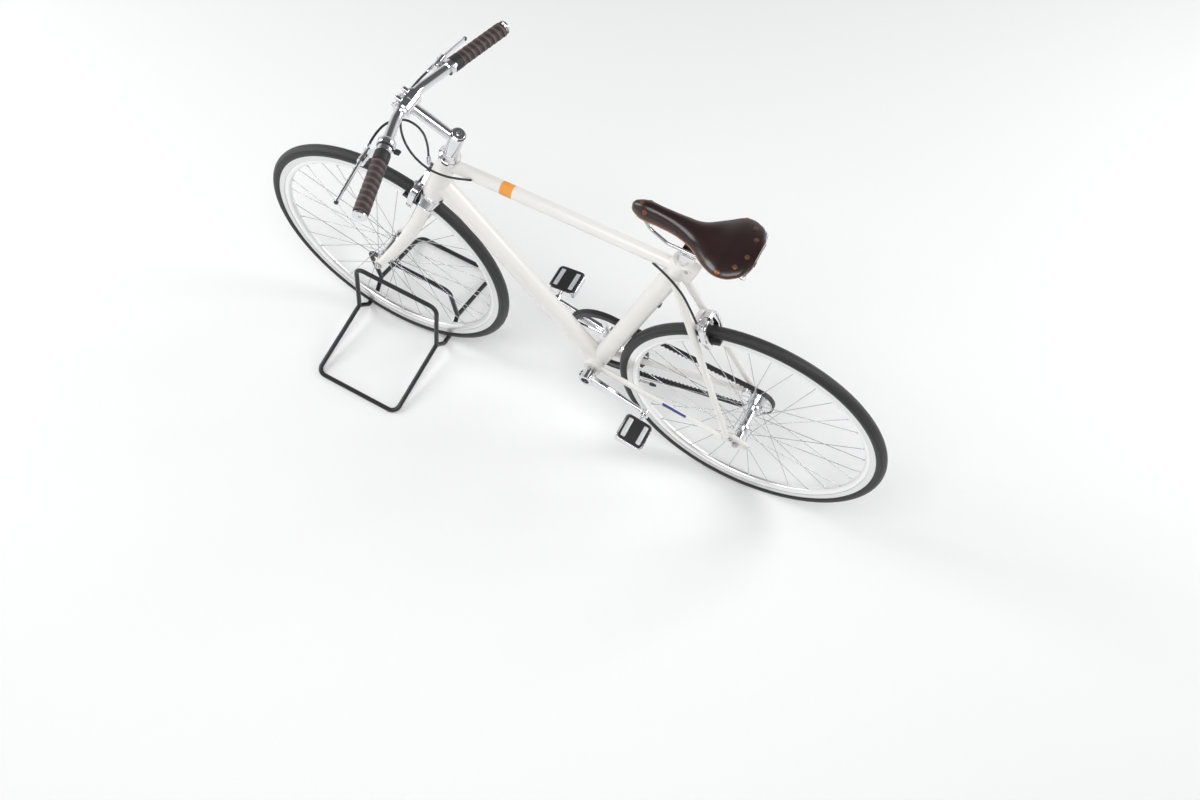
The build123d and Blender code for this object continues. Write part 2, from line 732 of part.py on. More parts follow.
with BuildPart() as fork_blade_left:
    for share in (0, 0.3, 0.6, 0.85, 1):
        with BuildSketch(blade_plane(share)):
            Ellipse((blade_width - 7 * share ** 2) / 2, blade_depth * (1 - share ** 4 / 2) / 2)
    loft()
    with BuildSketch(Plane(origin=front_axle_at + Vector(0, fork_plate_y - fork_plate / 2, 0), z_dir=(0, 1, 0))):
        Circle(13)
    extrude(amount=fork_plate)
    with BuildSketch(Plane(origin=front_axle_at, z_dir=(0, 1, 0))):
        Circle(axle_radius + running_fit)
    extrude(amount=90, mode=Mode.SUBTRACT)
    with BuildSketch(Plane(origin=front_axle_at, z_dir=(0, 1, 0))):
        Circle(16)
    extrude(amount=fork_plate_y - fork_plate / 2, mode=Mode.SUBTRACT)
    with BuildSketch(Plane(origin=front_axle_at + Vector(0, fork_plate_y + fork_plate / 2, 0), z_dir=(0, 1, 0))):
        Circle(10)
    extrude(amount=30, mode=Mode.SUBTRACT)
    add(fork_crown.part, mode=Mode.SUBTRACT)
fork_blade_left.part.label = "fork_blade_left"
export_step(fork_blade_left.part, "parts/fork_blade_left.step")

with BuildPart() as fork_blade_right:
    add(fork_blade_left.part)
    mirror(about=Plane.XZ, mode=Mode.REPLACE)
fork_blade_right.part.label = "fork_blade_right"
export_step(fork_blade_right.part, "parts/fork_blade_right.step")

front_axle = axle_with_nuts(front_axle_at, front_hub_spacing / 2, fork_plate, (44 + piece_gap, 44 + piece_gap))
front_axle.part.label = "front_axle"
export_step(front_axle.part, "parts/front_axle.step")

# ---------------------------------------------------------------- stem, bar and grips
cover_height = 11
cover_bottom = head_top + cup_height + piece_gap
column_radius = 16
stem_angle = 22.5
stem_tube_radius = 11.5
stem_drop = 20
bar_clamp_radius = 15.9
bar_radius = 11.1
clamp_outer_radius = 20
clamp_width = 44
bar_half_centre = 40
bar_end_y = 276
bar_sweep = 15.5

stem_root = on_steering(stem_top - stem_drop)
stem_dir = Vector(cos(radians(stem_angle)), 0, sin(radians(stem_angle)))
stem_reach = 119
bar_at = stem_root + stem_dir * stem_reach

with BuildPart() as headset_cover:
    with BuildSketch(steering_side):
        with BuildLine():
            Polyline(
                (steerer_radius + running_fit, cover_bottom),
                (head_upper_radius, cover_bottom),
                (head_upper_radius, cover_bottom + 3),
                (column_radius, cover_bottom + cover_height),
                (steerer_radius + running_fit, cover_bottom + cover_height),
                close=True,
            )
        make_face()
    revolve(axis=steering_axis)
headset_cover.part.label = "headset_cover"
export_step(headset_cover.part, "parts/headset_cover.step")

with BuildPart() as stem:
    with BuildSketch(Plane(origin=on_steering(cover_bottom + cover_height), z_dir=steer_up)):
        Circle(column_radius)
    extrude(amount=stem_top - cover_bottom - cover_height)
    with BuildSketch(Plane(origin=stem_root, x_dir=(0, 1, 0), z_dir=stem_dir)):
        Circle(stem_tube_radius)
    extrude(amount=stem_reach)
    with BuildSketch(Plane.XZ.offset(-clamp_width / 2)):
        with Locations((bar_at.X, bar_at.Z)):
            Circle(clamp_outer_radius)
    extrude(amount=clamp_width)
    with BuildSketch(Plane.XZ.offset(-clamp_width)):
        with Locations((bar_at.X, bar_at.Z)):
            Circle(bar_clamp_radius + running_fit)
    extrude(amount=2 * clamp_width, mode=Mode.SUBTRACT)
    with BuildSketch(Plane(origin=on_steering(0), z_dir=steer_up)):
        Circle(steerer_radius + running_fit)
    extrude(amount=stem_top, mode=Mode.SUBTRACT)
stem.part.label = "stem"
export_step(stem.part, "parts/stem.step")

with BuildPart() as stem_cap:
    with BuildSketch(Plane(origin=on_steering(stem_top), z_dir=steer_up)):
        Circle(column_radius - 2)
    extrude(amount=5)
    fillet(stem_cap.edges().group_by(Axis(crown_at, steer_up))[-1], 2)
    with BuildSketch(Plane(origin=on_steering(stem_top + 5), z_dir=steer_up)):
        RegularPolygon(3, 6)
    extrude(amount=-3, mode=Mode.SUBTRACT)
stem_cap.part.label = "stem_cap"
export_step(stem_cap.part, "parts/stem_cap.step")

swept_end = Vector(
    bar_at.X - (bar_end_y - bar_half_centre) * sin(radians(bar_sweep)) / cos(radians(bar_sweep)),
    bar_end_y,
    bar_at.Z - 2,
)
bar_bend = Vector(bar_at.X, bar_half_centre, bar_at.Z)
grip_dir = (swept_end - bar_bend).normalized()
with BuildPart() as handlebar:
    with BuildLine() as bar_path:
        FilletPolyline(mirrored(swept_end), mirrored(bar_bend), bar_bend, swept_end, radius=120)
    with BuildSketch(Plane(origin=mirrored(swept_end), z_dir=bar_path.line % 0)):
        Circle(bar_radius)
    sweep(path=bar_path.line)
    with BuildSketch(Plane.XZ.offset(-bar_half_centre / 2 - 8)):
        with Locations((bar_at.X, bar_at.Z)):
            Circle(bar_clamp_radius)
    extrude(amount=bar_half_centre + 16)
handlebar.part.label = "handlebar"
export_step(handlebar.part, "parts/handlebar.step")


def along_grip(y, side=1):
    """Point on the bar's swept part at a given distance from the middle."""
    point = bar_bend + grip_dir * ((y - bar_bend.Y) / grip_dir.Y)
    return point if side > 0 else mirrored(point)


def sleeve(y_start, y_end, radius, side, edge=1.5):
    """Round sleeve on the bar between two distances from the middle."""
    start = along_grip(y_start, side)
    direction = along_grip(y_end, side) - start
    with BuildPart() as body:
        with BuildSketch(Plane(origin=start, z_dir=direction)):
            Circle(radius)
        extrude(amount=direction.length)
        fillet(body.edges(), edge)
        with BuildSketch(Plane(origin=start, z_dir=direction)):
            Circle(bar_radius + running_fit)
        extrude(amount=direction.length, mode=Mode.SUBTRACT)
    return body


grip_inner_y = 132
grip_leather_y = 152
grip_end_y = bar_end_y - 4
grip_radius = 16

grip_left = sleeve(grip_leather_y, grip_end_y, grip_radius, 1)
grip_left.part.label = "grip_left"
export_step(grip_left.part, "parts/grip_left.step")
grip_right = sleeve(grip_leather_y, grip_end_y, grip_radius, -1)
grip_right.part.label = "grip_right"
export_step(grip_right.part, "parts/grip_right.step")

with BuildPart() as grip_collars:
    for side in (1, -1):
        add(sleeve(grip_inner_y, grip_leather_y - 0.02, grip_radius + 0.5, side, edge=1).part)
grip_collars.part.label = "grip_collars"
export_step(grip_collars.part, "parts/grip_collars.step")

with BuildPart() as bar_end_plugs:
    for side in (1, -1):
        start = along_grip(bar_end_y + 0.4, side)
        direction = along_grip(bar_end_y + 4, side) - start
        with BuildSketch(Plane(origin=start, z_dir=direction)):
            Circle(grip_radius - 1)
        extrude(amount=direction.length)
bar_end_plugs.part.label = "bar_end_plugs"
export_step(bar_end_plugs.part, "parts/bar_end_plugs.step")

# ---------------------------------------------------------------- brake cable routes
cable_radius = 2.5
barrel_radius = 4


def barrel(cable_end, next_point, length):
    """Barrel that a cable's end butts against, carrying on in line with its last run."""
    with BuildPart() as body:
        with BuildSketch(Plane(origin=cable_end, z_dir=cable_end - next_point)):
            Circle(barrel_radius)
        extrude(amount=length)
    return body


def route(points):
    """Arc radius at each inner point of a cable's route."""
    radii = []
    for before, here, after in zip(points, points[1:], points[2:]):
        arriving, leaving = here - before, after - here
        half_turn = radians(arriving.get_angle(leaving)) / 2
        radii.append(0.45 * min(arriving.length, leaving.length) / (sin(half_turn) / cos(half_turn)))
    print("cable radii", [round(r) for r in radii])
    return radii


def cable(points):
    """Round outer casing along straight runs joined by tangent arcs."""
    with BuildPart() as body:
        with BuildLine() as path:
            FilletPolyline(*points, radius=route(points))
        with BuildSketch(Plane(origin=points[0], z_dir=path.line % 0)):
            Circle(cable_radius)
        sweep(path=path.line)
    return body


def placed(origin, offsets):
    """Points given by their distances from a point of the frame or fork."""
    return [origin + Vector(*offset) for offset in offsets]


front_cable_points = placed(crown_at, [
    (58.4, 122, 244.3),
    (60.4, 92, 251.3),
    (55.4, 62, 257.3),
    (43.4, 38, 255.3),
    (30.4, 18, 241.3),
    (20.4, 2, 215.3),
    (14.4, -11, 179.3),
    (15.4, -20, 133.3),
    (20.4, -24, 83.3),
])
rear_loop_points = placed(crown_at, [
    (58.4, -122, 244.3),
    (68.4, -92, 235.3),
    (76.4, -60, 223.3),
    (75.4, -28, 205.3),
    (64.4, 2, 185.3),
    (42.4, 22, 166.3),
    (13.4, 33, 148.3),
    (-23.6, 38, 137.3),
    (-61.6, 34, 134.3),
    (-91.6, 25, 135.3),
    (-118.6, 14.5, 136.3),
])
rear_cable_points = placed(on_seat_tube(seat_tube_length), [
    (58, 13, -35),
    (30, 20, -40),
    (2, 26, -52),
    (-22, 29, -72),
]) + placed(Vector(bridge_at.X, 0, bridge_at.Z), [
    (19.5, 30, 83.9),
    (3.5, 30, 53.9),
    (-10.5, 28, 21.9),
])

# ---------------------------------------------------------------- brake levers and bell
lever_clamp_y = 125
lever_body_at = crown_at + Vector(50.4, 140, 245.3)
lever_tip = crown_at + Vector(52.4, 247, 220.5)


def brake_lever(side, cable_points):
    """Clamp ring on the bar, lever body ahead of it and a slim blade reaching outwards."""
    clamp = along_grip(lever_clamp_y, side)
    body_at = lever_body_at if side > 0 else mirrored(lever_body_at)
    tip = lever_tip if side > 0 else mirrored(lever_tip)
    ring_dir = along_grip(lever_clamp_y + 1, side) - clamp
    with BuildPart() as body:
        with BuildSketch(Plane(origin=clamp, x_dir=body_at - clamp, z_dir=ring_dir)):
            Circle(bar_radius + 4.5)
            with Locations(((body_at - clamp).length / 2, 0)):
                Rectangle((body_at - clamp).length, 12)
            Circle(bar_radius + running_fit, mode=Mode.SUBTRACT)
        extrude(amount=6, both=True)
        with BuildSketch(Plane(origin=body_at + Vector(0, -side * 16, 0), z_dir=(0, side, 0))):
            Ellipse(10, 8)
        extrude(amount=34)
        root = body_at + Vector(4, side * 8, -2)
        with BuildSketch(Plane(origin=root, x_dir=(0, 0, 1), z_dir=tip - root)):
            RectangleRounded(11, 7, 3)
        with BuildSketch(Plane(origin=tip, x_dir=(0, 0, 1), z_dir=tip - root)):
            RectangleRounded(9, 5, 2)
        loft()
        add(barrel(cable_points[0], cable_points[1], 12).part)
    return body


brake_lever_left = brake_lever(1, front_cable_points)
brake_lever_left.part.label = "brake_lever_left"
export_step(brake_lever_left.part, "parts/brake_lever_left.step")
brake_lever_right = brake_lever(-1, rear_loop_points)
brake_lever_right.part.label = "brake_lever_right"
export_step(brake_lever_right.part, "parts/brake_lever_right.step")

bell_y = 110
bell_radius = 18.5
with BuildPart() as bell:
    start = along_grip(bell_y - 7)
    direction = along_grip(bell_y + 7) - start
    with BuildSketch(Plane(origin=start, z_dir=direction)):
        Circle(bell_radius)
        Circle(bar_radius + 0.15, mode=Mode.SUBTRACT)
    extrude(amount=direction.length)
bell.part.label = "bell"
export_step(bell.part, "parts/bell.step")

# ---------------------------------------------------------------- brake calipers
pad_offset = rim_half_width + 1.2
pad_thickness = 8
track_radius = rim_radius - 7


def caliper(mount, up, out, wheel_centre, stand_off, cable_points, barrel_length):
    """Two arched arms on a centre bolt, reaching down each side of the tyre to the rim."""
    rise, run = (wheel_centre - mount).dot(up), (wheel_centre - mount).dot(out)
    pad_up = rise + (track_radius ** 2 - (run - stand_off - 5) ** 2) ** 0.5
    plane = Plane(origin=mount + out * stand_off, x_dir=(0, 1, 0), z_dir=out)
    flip = 1 if plane.y_dir.dot(up) > 0 else -1
    with BuildPart() as body:
        for side in (1, -1):
            with BuildSketch(plane):
                with BuildLine() as arm:
                    FilletPolyline(
                        (0, flip * 4),
                        (side * 24, flip * 2),
                        (side * 31, flip * (pad_up / 2 - 6)),
                        (side * 25, flip * (pad_up - 6)),
                        radius=10,
                    )
                trace(line_width=15)
            extrude(amount=13)
        with BuildSketch(Plane(origin=mount, z_dir=out)):
            Circle(3.9)
        extrude(amount=stand_off + 12)
        adjuster = barrel(cable_points[-1], cable_points[-2], barrel_length)
        add(adjuster.part)
        foot = cable_points[-1] - cable_points[-2]
        foot = plane.to_local_coords(cable_points[-1] + foot.normalized() * (barrel_length - 4))
        with BuildSketch(plane):
            with BuildLine():
                Line((foot.X * 0.85, flip * 2), (foot.X, foot.Y))
            trace(line_width=9)
        extrude(amount=10)
    return body, pad_up


def brake_pads(mount, up, out, wheel_centre, stand_off, pad_up):
    """A pad block on each side of the rim, held inside the caliper arm."""
    middle = mount + up * pad_up + out * (stand_off + 5)
    with BuildPart() as body:
        for side in (1, -1):
            tangent = (middle - wheel_centre).cross(Vector(0, 1, 0)).normalized()
            face = middle + Vector(0, side * pad_offset, 0)
            with BuildSketch(Plane(origin=face, x_dir=tangent, z_dir=(0, side, 0))):
                RectangleRounded(52, 10, 3)
            extrude(amount=pad_thickness)
    return body


front_mount = on_steering(-6, 17.5)
front_brake_caliper, front_pad_up = caliper(
    front_mount, steer_up, steer_forward, front_axle_at, 12, front_cable_points, 22)
front_brake_pads = brake_pads(front_mount, steer_up, steer_forward, front_axle_at, 12, front_pad_up)
with BuildPart() as front_caliper_cut:
    add(front_brake_caliper.part)
    add(front_brake_pads.part, mode=Mode.SUBTRACT)
    add(fork_crown.part, mode=Mode.SUBTRACT)
front_caliper_cut.part.label = "front_brake_caliper"
export_step(front_caliper_cut.part, "parts/front_brake_caliper.step")
front_brake_pads.part.label = "front_brake_pads"
export_step(front_brake_pads.part, "parts/front_brake_pads.step")

stay_down = Vector(seatstay_foot.X - seatstay_top.X, 0, seatstay_foot.Z - seatstay_top.Z).normalized()
stay_up = stay_down * -1
stay_back = Vector(stay_down.Z, 0, -stay_down.X)
rear_mount = Vector(bridge_at.X, 0, bridge_at.Z) + stay_back * (bridge_radius + 0.1)
rear_brake_caliper, rear_pad_up = caliper(
    rear_mount, stay_up, stay_back, rear_axle_at, 10, rear_cable_points, 16)
rear_brake_pads = brake_pads(rear_mount, stay_up, stay_back, rear_axle_at, 10, rear_pad_up)
with BuildPart() as rear_caliper_cut:
    add(rear_brake_caliper.part)
    add(rear_brake_pads.part, mode=Mode.SUBTRACT)
rear_caliper_cut.part.label = "rear_brake_caliper"
export_step(rear_caliper_cut.part, "parts/rear_brake_caliper.step")
rear_brake_pads.part.label = "rear_brake_pads"
export_step(rear_brake_pads.part, "parts/rear_brake_pads.step")
print("pads below mounts", front_pad_up, rear_pad_up)

# ---------------------------------------------------------------- brake cables
front_brake_cable = cable(front_cable_points)
front_brake_cable.part.label = "front_brake_cable"
export_step(front_brake_cable.part, "parts/front_brake_cable.step")
with BuildPart() as rear_cable_loop:
    add(cable(rear_loop_points).part)
    add(top_tube.part, mode=Mode.SUBTRACT)
rear_cable_loop.part.label = "rear_cable_loop"
export_step(rear_cable_loop.part, "parts/rear_cable_loop.step")
with BuildPart() as rear_brake_cable:
    add(cable(rear_cable_points).part)
    add(top_tube.part, mode=Mode.SUBTRACT)
rear_brake_cable.part.label = "rear_brake_cable"
export_step(rear_brake_cable.part, "parts/rear_brake_cable.step")

# ---------------------------------------------------------------- seatpost and saddle
post_insert = 100
rail_z = 897
saddle_x = -262
rail_radius = 3.5
rail_spread = 22
with BuildPart() as seatpost:
    post_top = (rail_z - 14 - bracket_at.Z) / sin(radians(seat_angle))
    with BuildSketch(Plane(origin=on_seat_tube(seat_tube_length - post_insert), z_dir=seat_up)):
        Circle(seatpost_radius)
    extrude(amount=post_top - seat_tube_length + post_insert)
    head = on_seat_tube(post_top)
    with BuildSketch(Plane(origin=(head.X, 0, head.Z - 4))):
        RectangleRounded(34, 2 * rail_spread + 16, 5)
    extrude(amount=rail_z - rail_radius - running_fit - head.Z + 4)
seatpost.part.label = "seatpost"
export_step(seatpost.part, "parts/seatpost.step")

leather_thickness = 5
saddle_sections = [
    # station x, half width, skirt bottom, crown top
    (-133, 9, 933, 949),
    (-150, 17, 930, 957),
    (-195, 19.5, 930, 959),
    (-235, 23, 931, 956),
    (-272, 33, 928, 950),
    (-308, 59, 930, 950),
    (-343, 76, 941, 958),
    (-370, 70, 946, 963),
    (-386, 56, 950, 965),
    (-396, 34, 952, 965),
]


def saddle_arch(x, half_width, bottom, top, outer, inner):
    """Arched cross-section at one station, open underneath, between two depths below the skin."""
    with BuildSketch(Plane(origin=(x, 0, bottom), x_dir=(0, 1, 0), z_dir=(1, 0, 0))) as arch:
        with BuildLine():
            height = top - bottom
            a = EllipticalCenterArc((0, 0), half_width - outer, height - outer, 0, arc_size=180)
            b = EllipticalCenterArc((0, 0), half_width - inner, height - inner, 0, arc_size=180)
            Line(a @ 0, b @ 0)
            Line(a @ 1, b @ 1)
        make_face()
    return arch.sketch


with BuildPart() as saddle_rails:
    plate_depth = leather_thickness + piece_gap
    loft([saddle_arch(*section, plate_depth, plate_depth + 3) for section in saddle_sections])
    with Locations((-262, 0, 940)):
        Box(216, 200, 120, mode=Mode.SUBTRACT)
    with Locations((-130, 0, 940), (-394, 0, 940)):
        Box(20, 200, 120, mode=Mode.SUBTRACT)
    for side in (1, -1):
        rail_points = [
            (-147, side * 6, 940),
            (-176, side * 7, rail_z),
            (-222, side * rail_spread, rail_z),
            (-322, side * rail_spread, rail_z),
            (-378, side * 40, 953),
        ]
        with BuildLine() as rail_path:
            FilletPolyline(*rail_points, radius=20)
        with BuildSketch(Plane(origin=rail_points[0], z_dir=rail_path.line % 0)):
            Circle(rail_radius)
        sweep(path=rail_path.line)
saddle_rails.part.label = "saddle_rails"
export_step(saddle_rails.part, "parts/saddle_rails.step")

with BuildPart() as saddle_leather:
    loft([saddle_arch(*section, 0, leather_thickness) for section in saddle_sections])
saddle_leather.part.label = "saddle_leather"
export_step(saddle_leather.part, "parts/saddle_leather.step")

# ---------------------------------------------------------------- floor stand
stand_tube_radius = 6
stand_half_length = 124
stand_x = 476
tube_reach = tyre_radius + piece_gap + stand_tube_radius
tube_ahead = stand_x + stand_half_length - front_axle_at.X
cradle_z = tyre_radius - (tube_reach ** 2 - tube_ahead ** 2) ** 0.5
stand_yaw = -1.35
stand_reach_left = 264
stand_reach_right = 247
knee_y = 54
knee_z = 53
hoop_y = 31
hoop_z = 207
stand_bend = 22
stand_frame = Plane(
    origin=(stand_x, 0, 0),
    x_dir=(cos(radians(stand_yaw)), sin(radians(stand_yaw)), 0),
    z_dir=(0, 0, 1),
)


def stand_tube(points, radius):
    """Bent round tube through the given points of the stand's own frame."""
    with BuildPart() as body:
        with BuildLine(stand_frame) as path:
            FilletPolyline(*points, radius=radius)
        with BuildSketch(Plane(origin=path.line @ 0, z_dir=path.line % 0)):
            Circle(stand_tube_radius)
        sweep(path=path.line)
    return body


def stand_side(side, reach):
    """Floor leg and wheel hoop of one side, joined at both knees."""
    front, rear = stand_half_length, -stand_half_length
    leg = stand_tube(
        [(front, side * knee_y, knee_z), (front, side * reach, stand_tube_radius),
         (rear, side * reach, stand_tube_radius), (rear, side * knee_y, knee_z)], stand_bend)
    hoop = stand_tube(
        [(front, side * knee_y, knee_z), (front, side * hoop_y, hoop_z),
         (rear, side * hoop_y, hoop_z), (rear, side * knee_y, knee_z)], stand_bend)
    with BuildPart() as body:
        add(leg.part)
        add(hoop.part)
        for x in (front, rear):
            with Locations(stand_frame.from_local_coords(Vector(x, side * knee_y, knee_z))):
                Sphere(stand_tube_radius)
    return body


stand_left = stand_side(1, stand_reach_left)
stand_right = stand_side(-1, stand_reach_right)
with BuildPart() as stand_cross_tubes:
    for x in (stand_half_length, -stand_half_length):
        add(stand_tube(
            [(x, knee_y, knee_z), (x, 20, cradle_z), (x, -20, cradle_z), (x, -knee_y, knee_z)],
            12,
        ).part)
    add(stand_left.part, mode=Mode.SUBTRACT)
    add(stand_right.part, mode=Mode.SUBTRACT)
stand_left.part.label = "stand_left"
export_step(stand_left.part, "parts/stand_left.step")
stand_right.part.label = "stand_right"
export_step(stand_right.part, "parts/stand_right.step")
stand_cross_tubes.part.label = "stand_cross_tubes"
export_step(stand_cross_tubes.part, "parts/stand_cross_tubes.step")
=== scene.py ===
# A single-speed city bicycle with a toothed belt drive, parked in a bent-tube floor stand.
# +X runs to the front wheel, +Y to the rider's left, +Z up. Places are in metres; helpers that
# take sizes in millimetres say so.
from functools import partial
from math import cos, pi, radians, sin, tau

import bmesh
import bpy
import numpy as np
from mathutils import Matrix, Vector


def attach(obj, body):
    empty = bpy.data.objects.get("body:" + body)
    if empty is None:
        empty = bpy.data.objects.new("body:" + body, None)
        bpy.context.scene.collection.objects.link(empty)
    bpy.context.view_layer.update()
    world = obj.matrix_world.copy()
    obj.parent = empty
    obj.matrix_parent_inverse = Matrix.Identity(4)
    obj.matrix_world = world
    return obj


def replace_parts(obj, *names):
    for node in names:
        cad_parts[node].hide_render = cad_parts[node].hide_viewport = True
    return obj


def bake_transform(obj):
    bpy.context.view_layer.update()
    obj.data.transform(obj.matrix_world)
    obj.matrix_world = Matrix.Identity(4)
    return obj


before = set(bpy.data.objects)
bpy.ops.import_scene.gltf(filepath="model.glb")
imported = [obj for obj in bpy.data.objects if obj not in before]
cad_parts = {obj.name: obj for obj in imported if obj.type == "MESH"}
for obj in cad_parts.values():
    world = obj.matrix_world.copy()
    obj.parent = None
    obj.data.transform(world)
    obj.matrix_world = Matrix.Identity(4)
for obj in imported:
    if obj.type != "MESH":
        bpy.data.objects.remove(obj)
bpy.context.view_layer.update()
scene = bpy.context.scene
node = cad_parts

# ---------------------------------------------------------------- studio
# A wide disc of white paper on the floor, a surround that is bright at the horizon and dim
# overhead, and three broad soft lamps hung above and beside the bicycle.
camera_place = Vector((-0.568259, 1.203989, 2.636568))
camera_right = Vector((-0.88864485, -0.45507305, 0.05673492))
camera_up = Vector((0.43062308, -0.78548347, 0.44449914))
camera_data = bpy.data.cameras.new("camera")
camera_data.sensor_width = 36
camera_data.lens = 32.496
camera = bpy.data.objects.new("camera", camera_data)
scene.collection.objects.link(camera)
camera_turn = Matrix((camera_right, camera_up, camera_right.cross(camera_up))).transposed()
camera.matrix_world = Matrix.Translation(camera_place) @ camera_turn.to_4x4()
scene.camera = camera
scene.view_settings.view_transform = "Standard"

world = bpy.data.worlds.new("studio")
scene.world = world
world.use_nodes = True
sky = world.node_tree
direction = sky.nodes.new("ShaderNodeTexCoord")
height = sky.nodes.new("ShaderNodeSeparateXYZ")
dimmer = sky.nodes.new("ShaderNodeValToRGB")
horizon, overhead = dimmer.color_ramp.elements
horizon.position, horizon.color = 0.12, (0.98, 0.98, 0.98, 1)
overhead.position, overhead.color = 0.66, (0.13, 0.13, 0.135, 1)
sky.links.new(direction.outputs["Generated"], height.inputs[0])
sky.links.new(height.outputs["Z"], dimmer.inputs[0])
sky.links.new(dimmer.outputs[0], sky.nodes["Background"].inputs["Color"])


def lamp(name, place, aim, size, power):
    """A rectangular soft lamp at one place, turned to face another; size in metres, power in watts."""
    data = bpy.data.lights.new(name, "AREA")
    data.shape = "RECTANGLE"
    data.size, data.size_y = size
    data.energy = power
    lit = bpy.data.objects.new(name, data)
    lit.location = place
    lit.rotation_euler = (Vector(aim) - Vector(place)).to_track_quat("-Z", "Y").to_euler()
    scene.collection.objects.link(lit)


lamp("overhead_lamp", (-0.3, 1.7, 4.2), (0, 0, 0.3), (3.0, 1.8), 90)
lamp("front_lamp", (3.4, 0.6, 2.6), (0.2, 0, 0.4), (1.2, 2.4), 64)
lamp("rear_lamp", (-2.8, -2.2, 2.4), (0, 0, 0.4), (1.4, 2.2), 64)

floor_radius, floor_sides = 14, 96
floor_turns = [tau * k / floor_sides for k in range(floor_sides)]
floor_edge = [(floor_radius * cos(a), floor_radius * sin(a), 0) for a in floor_turns]
paper = bpy.data.meshes.new("floor")
paper.from_pydata(floor_edge, [], [range(floor_sides)])
floor = bpy.data.objects.new("floor", paper)
scene.collection.objects.link(floor)
paper_finish = bpy.data.materials.new("white_paper")
paper_finish.use_nodes = True
paper_shader = paper_finish.node_tree.nodes["Principled BSDF"]
paper_shader.inputs["Base Color"].default_value = (0.95, 0.953, 0.953, 1)
paper_shader.inputs["Roughness"].default_value = 0.75
paper_shader.inputs["Specular IOR Level"].default_value = 0.2
paper.materials.append(paper_finish)

# ---------------------------------------------------------------- painted frame and fork
# Aluminium tubes, welded, smoothed and sprayed a warm white under clear lacquer. The colour
# drifts by a touch from place to place, and the lacquer has the faint ripple of sprayed paint.


def rgb(*values):
    """A solid colour with the alpha that node sockets ask for."""
    return (*values, 1.0)


def shader_of(material):
    """The one shader of a material."""
    return material.node_tree.nodes["Principled BSDF"]


def new_material(name, color, roughness, metallic=0.0, coat=0.0):
    """A material with one shader, whose plain values are set here."""
    made = bpy.data.materials.new(name)
    made.use_nodes = True
    shader = shader_of(made)
    shader.inputs["Base Color"].default_value = rgb(*color)
    shader.inputs["Roughness"].default_value = roughness
    shader.inputs["Metallic"].default_value = metallic
    shader.inputs["Coat Weight"].default_value = coat
    return made


def feed(tree, socket, value):
    """Links a socket to another node's output, or sets it to a plain value."""
    if isinstance(value, bpy.types.NodeSocket):
        tree.links.new(value, socket)
    else:
        socket.default_value = value


def mix_node(tree, kind, factor, a, b):
    """Output of a Mix node of one kind, FLOAT or RGBA; a and b are values or other nodes' outputs."""
    made = tree.nodes.new("ShaderNodeMix")
    made.data_type = kind
    for socket, value in (("Factor", factor), ("A", a), ("B", b)):
        feed(tree, made.inputs[socket], value)
    return made.outputs["Result"]


def shading_group(name, colors, numbers):
    """A node group that takes colours and numbers and puts out a colour, a roughness and a normal.

    Returns its tree, its input node and its output node.
    """
    tree = bpy.data.node_groups.new(name, "ShaderNodeTree")
    sockets = [(label, "INPUT", "Color") for label in colors]
    sockets += [(label, "INPUT", "Float") for label in numbers]
    outputs = (("Color", "Color"), ("Roughness", "Float"), ("Normal", "Vector"))
    sockets += [(label, "OUTPUT", kind) for label, kind in outputs]
    for label, end, kind in sockets:
        tree.interface.new_socket(label, in_out=end, socket_type="NodeSocket" + kind)
    return tree, tree.nodes.new("NodeGroupInput"), tree.nodes.new("NodeGroupOutput")


def close_group(tree, out, color, roughness, height, depth):
    """Feeds a shading group's outputs; the normal is tilted by a height worth depth metres."""
    bump = tree.nodes.new("ShaderNodeBump")
    feed(tree, bump.inputs["Height"], height)
    feed(tree, bump.inputs["Distance"], depth)
    for socket, value in (("Color", color), ("Roughness", roughness), ("Normal", bump.outputs["Normal"])):
        feed(tree, out.inputs[socket], value)
    return tree


def cloud_group():
    """Group: two colours, and two roughnesses, mixed by soft noise; its fine noise tilts the normal."""
    tree, into, out = shading_group("clouded_finish", ("Color A", "Color B"),
                                    ("Rough A", "Rough B", "Scale", "Grain", "Depth"))
    place = tree.nodes.new("ShaderNodeTexCoord").outputs["Object"]
    noises = []
    for scale, detail in (("Scale", 4), ("Grain", 3)):
        noise = tree.nodes.new("ShaderNodeTexNoise")
        for socket, value in (("Vector", place), ("Scale", into.outputs[scale]), ("Detail", detail)):
            feed(tree, noise.inputs[socket], value)
        noises.append(noise.outputs["Fac"])
    broad, fine = noises
    color = mix_node(tree, "RGBA", broad, into.outputs["Color A"], into.outputs["Color B"])
    rough = mix_node(tree, "FLOAT", broad, into.outputs["Rough A"], into.outputs["Rough B"])
    return close_group(tree, out, color, rough, fine, into.outputs["Depth"])


clouded = cloud_group()


def use_group(material, group):
    """Adds a shading group to a material, whose shader takes colour, roughness and normal from it."""
    tree = material.node_tree
    used = tree.nodes.new("ShaderNodeGroup")
    used.node_tree = group
    for socket, target in (("Color", "Base Color"), ("Roughness", "Roughness"), ("Normal", "Normal")):
        tree.links.new(used.outputs[socket], shader_of(material).inputs[target])
    return used


def clouded_material(name, color_a, color_b, rough, scale, grain, depth, metallic=0.0, coat=0.0):
    """A finish whose colour and gloss drift softly over the surface, with a fine surface grain.

    Scale and grain count the soft and the fine noise's features in a metre; depth is the grain's, in metres.
    """
    made = new_material(name, color_a, rough[0], metallic, coat)
    used = use_group(made, clouded)
    settings = {"Color A": rgb(*color_a), "Color B": rgb(*color_b), "Rough A": rough[0], "Rough B": rough[1],
                "Scale": scale, "Grain": grain, "Depth": depth}
    for socket, value in settings.items():
        used.inputs[socket].default_value = value
    return made


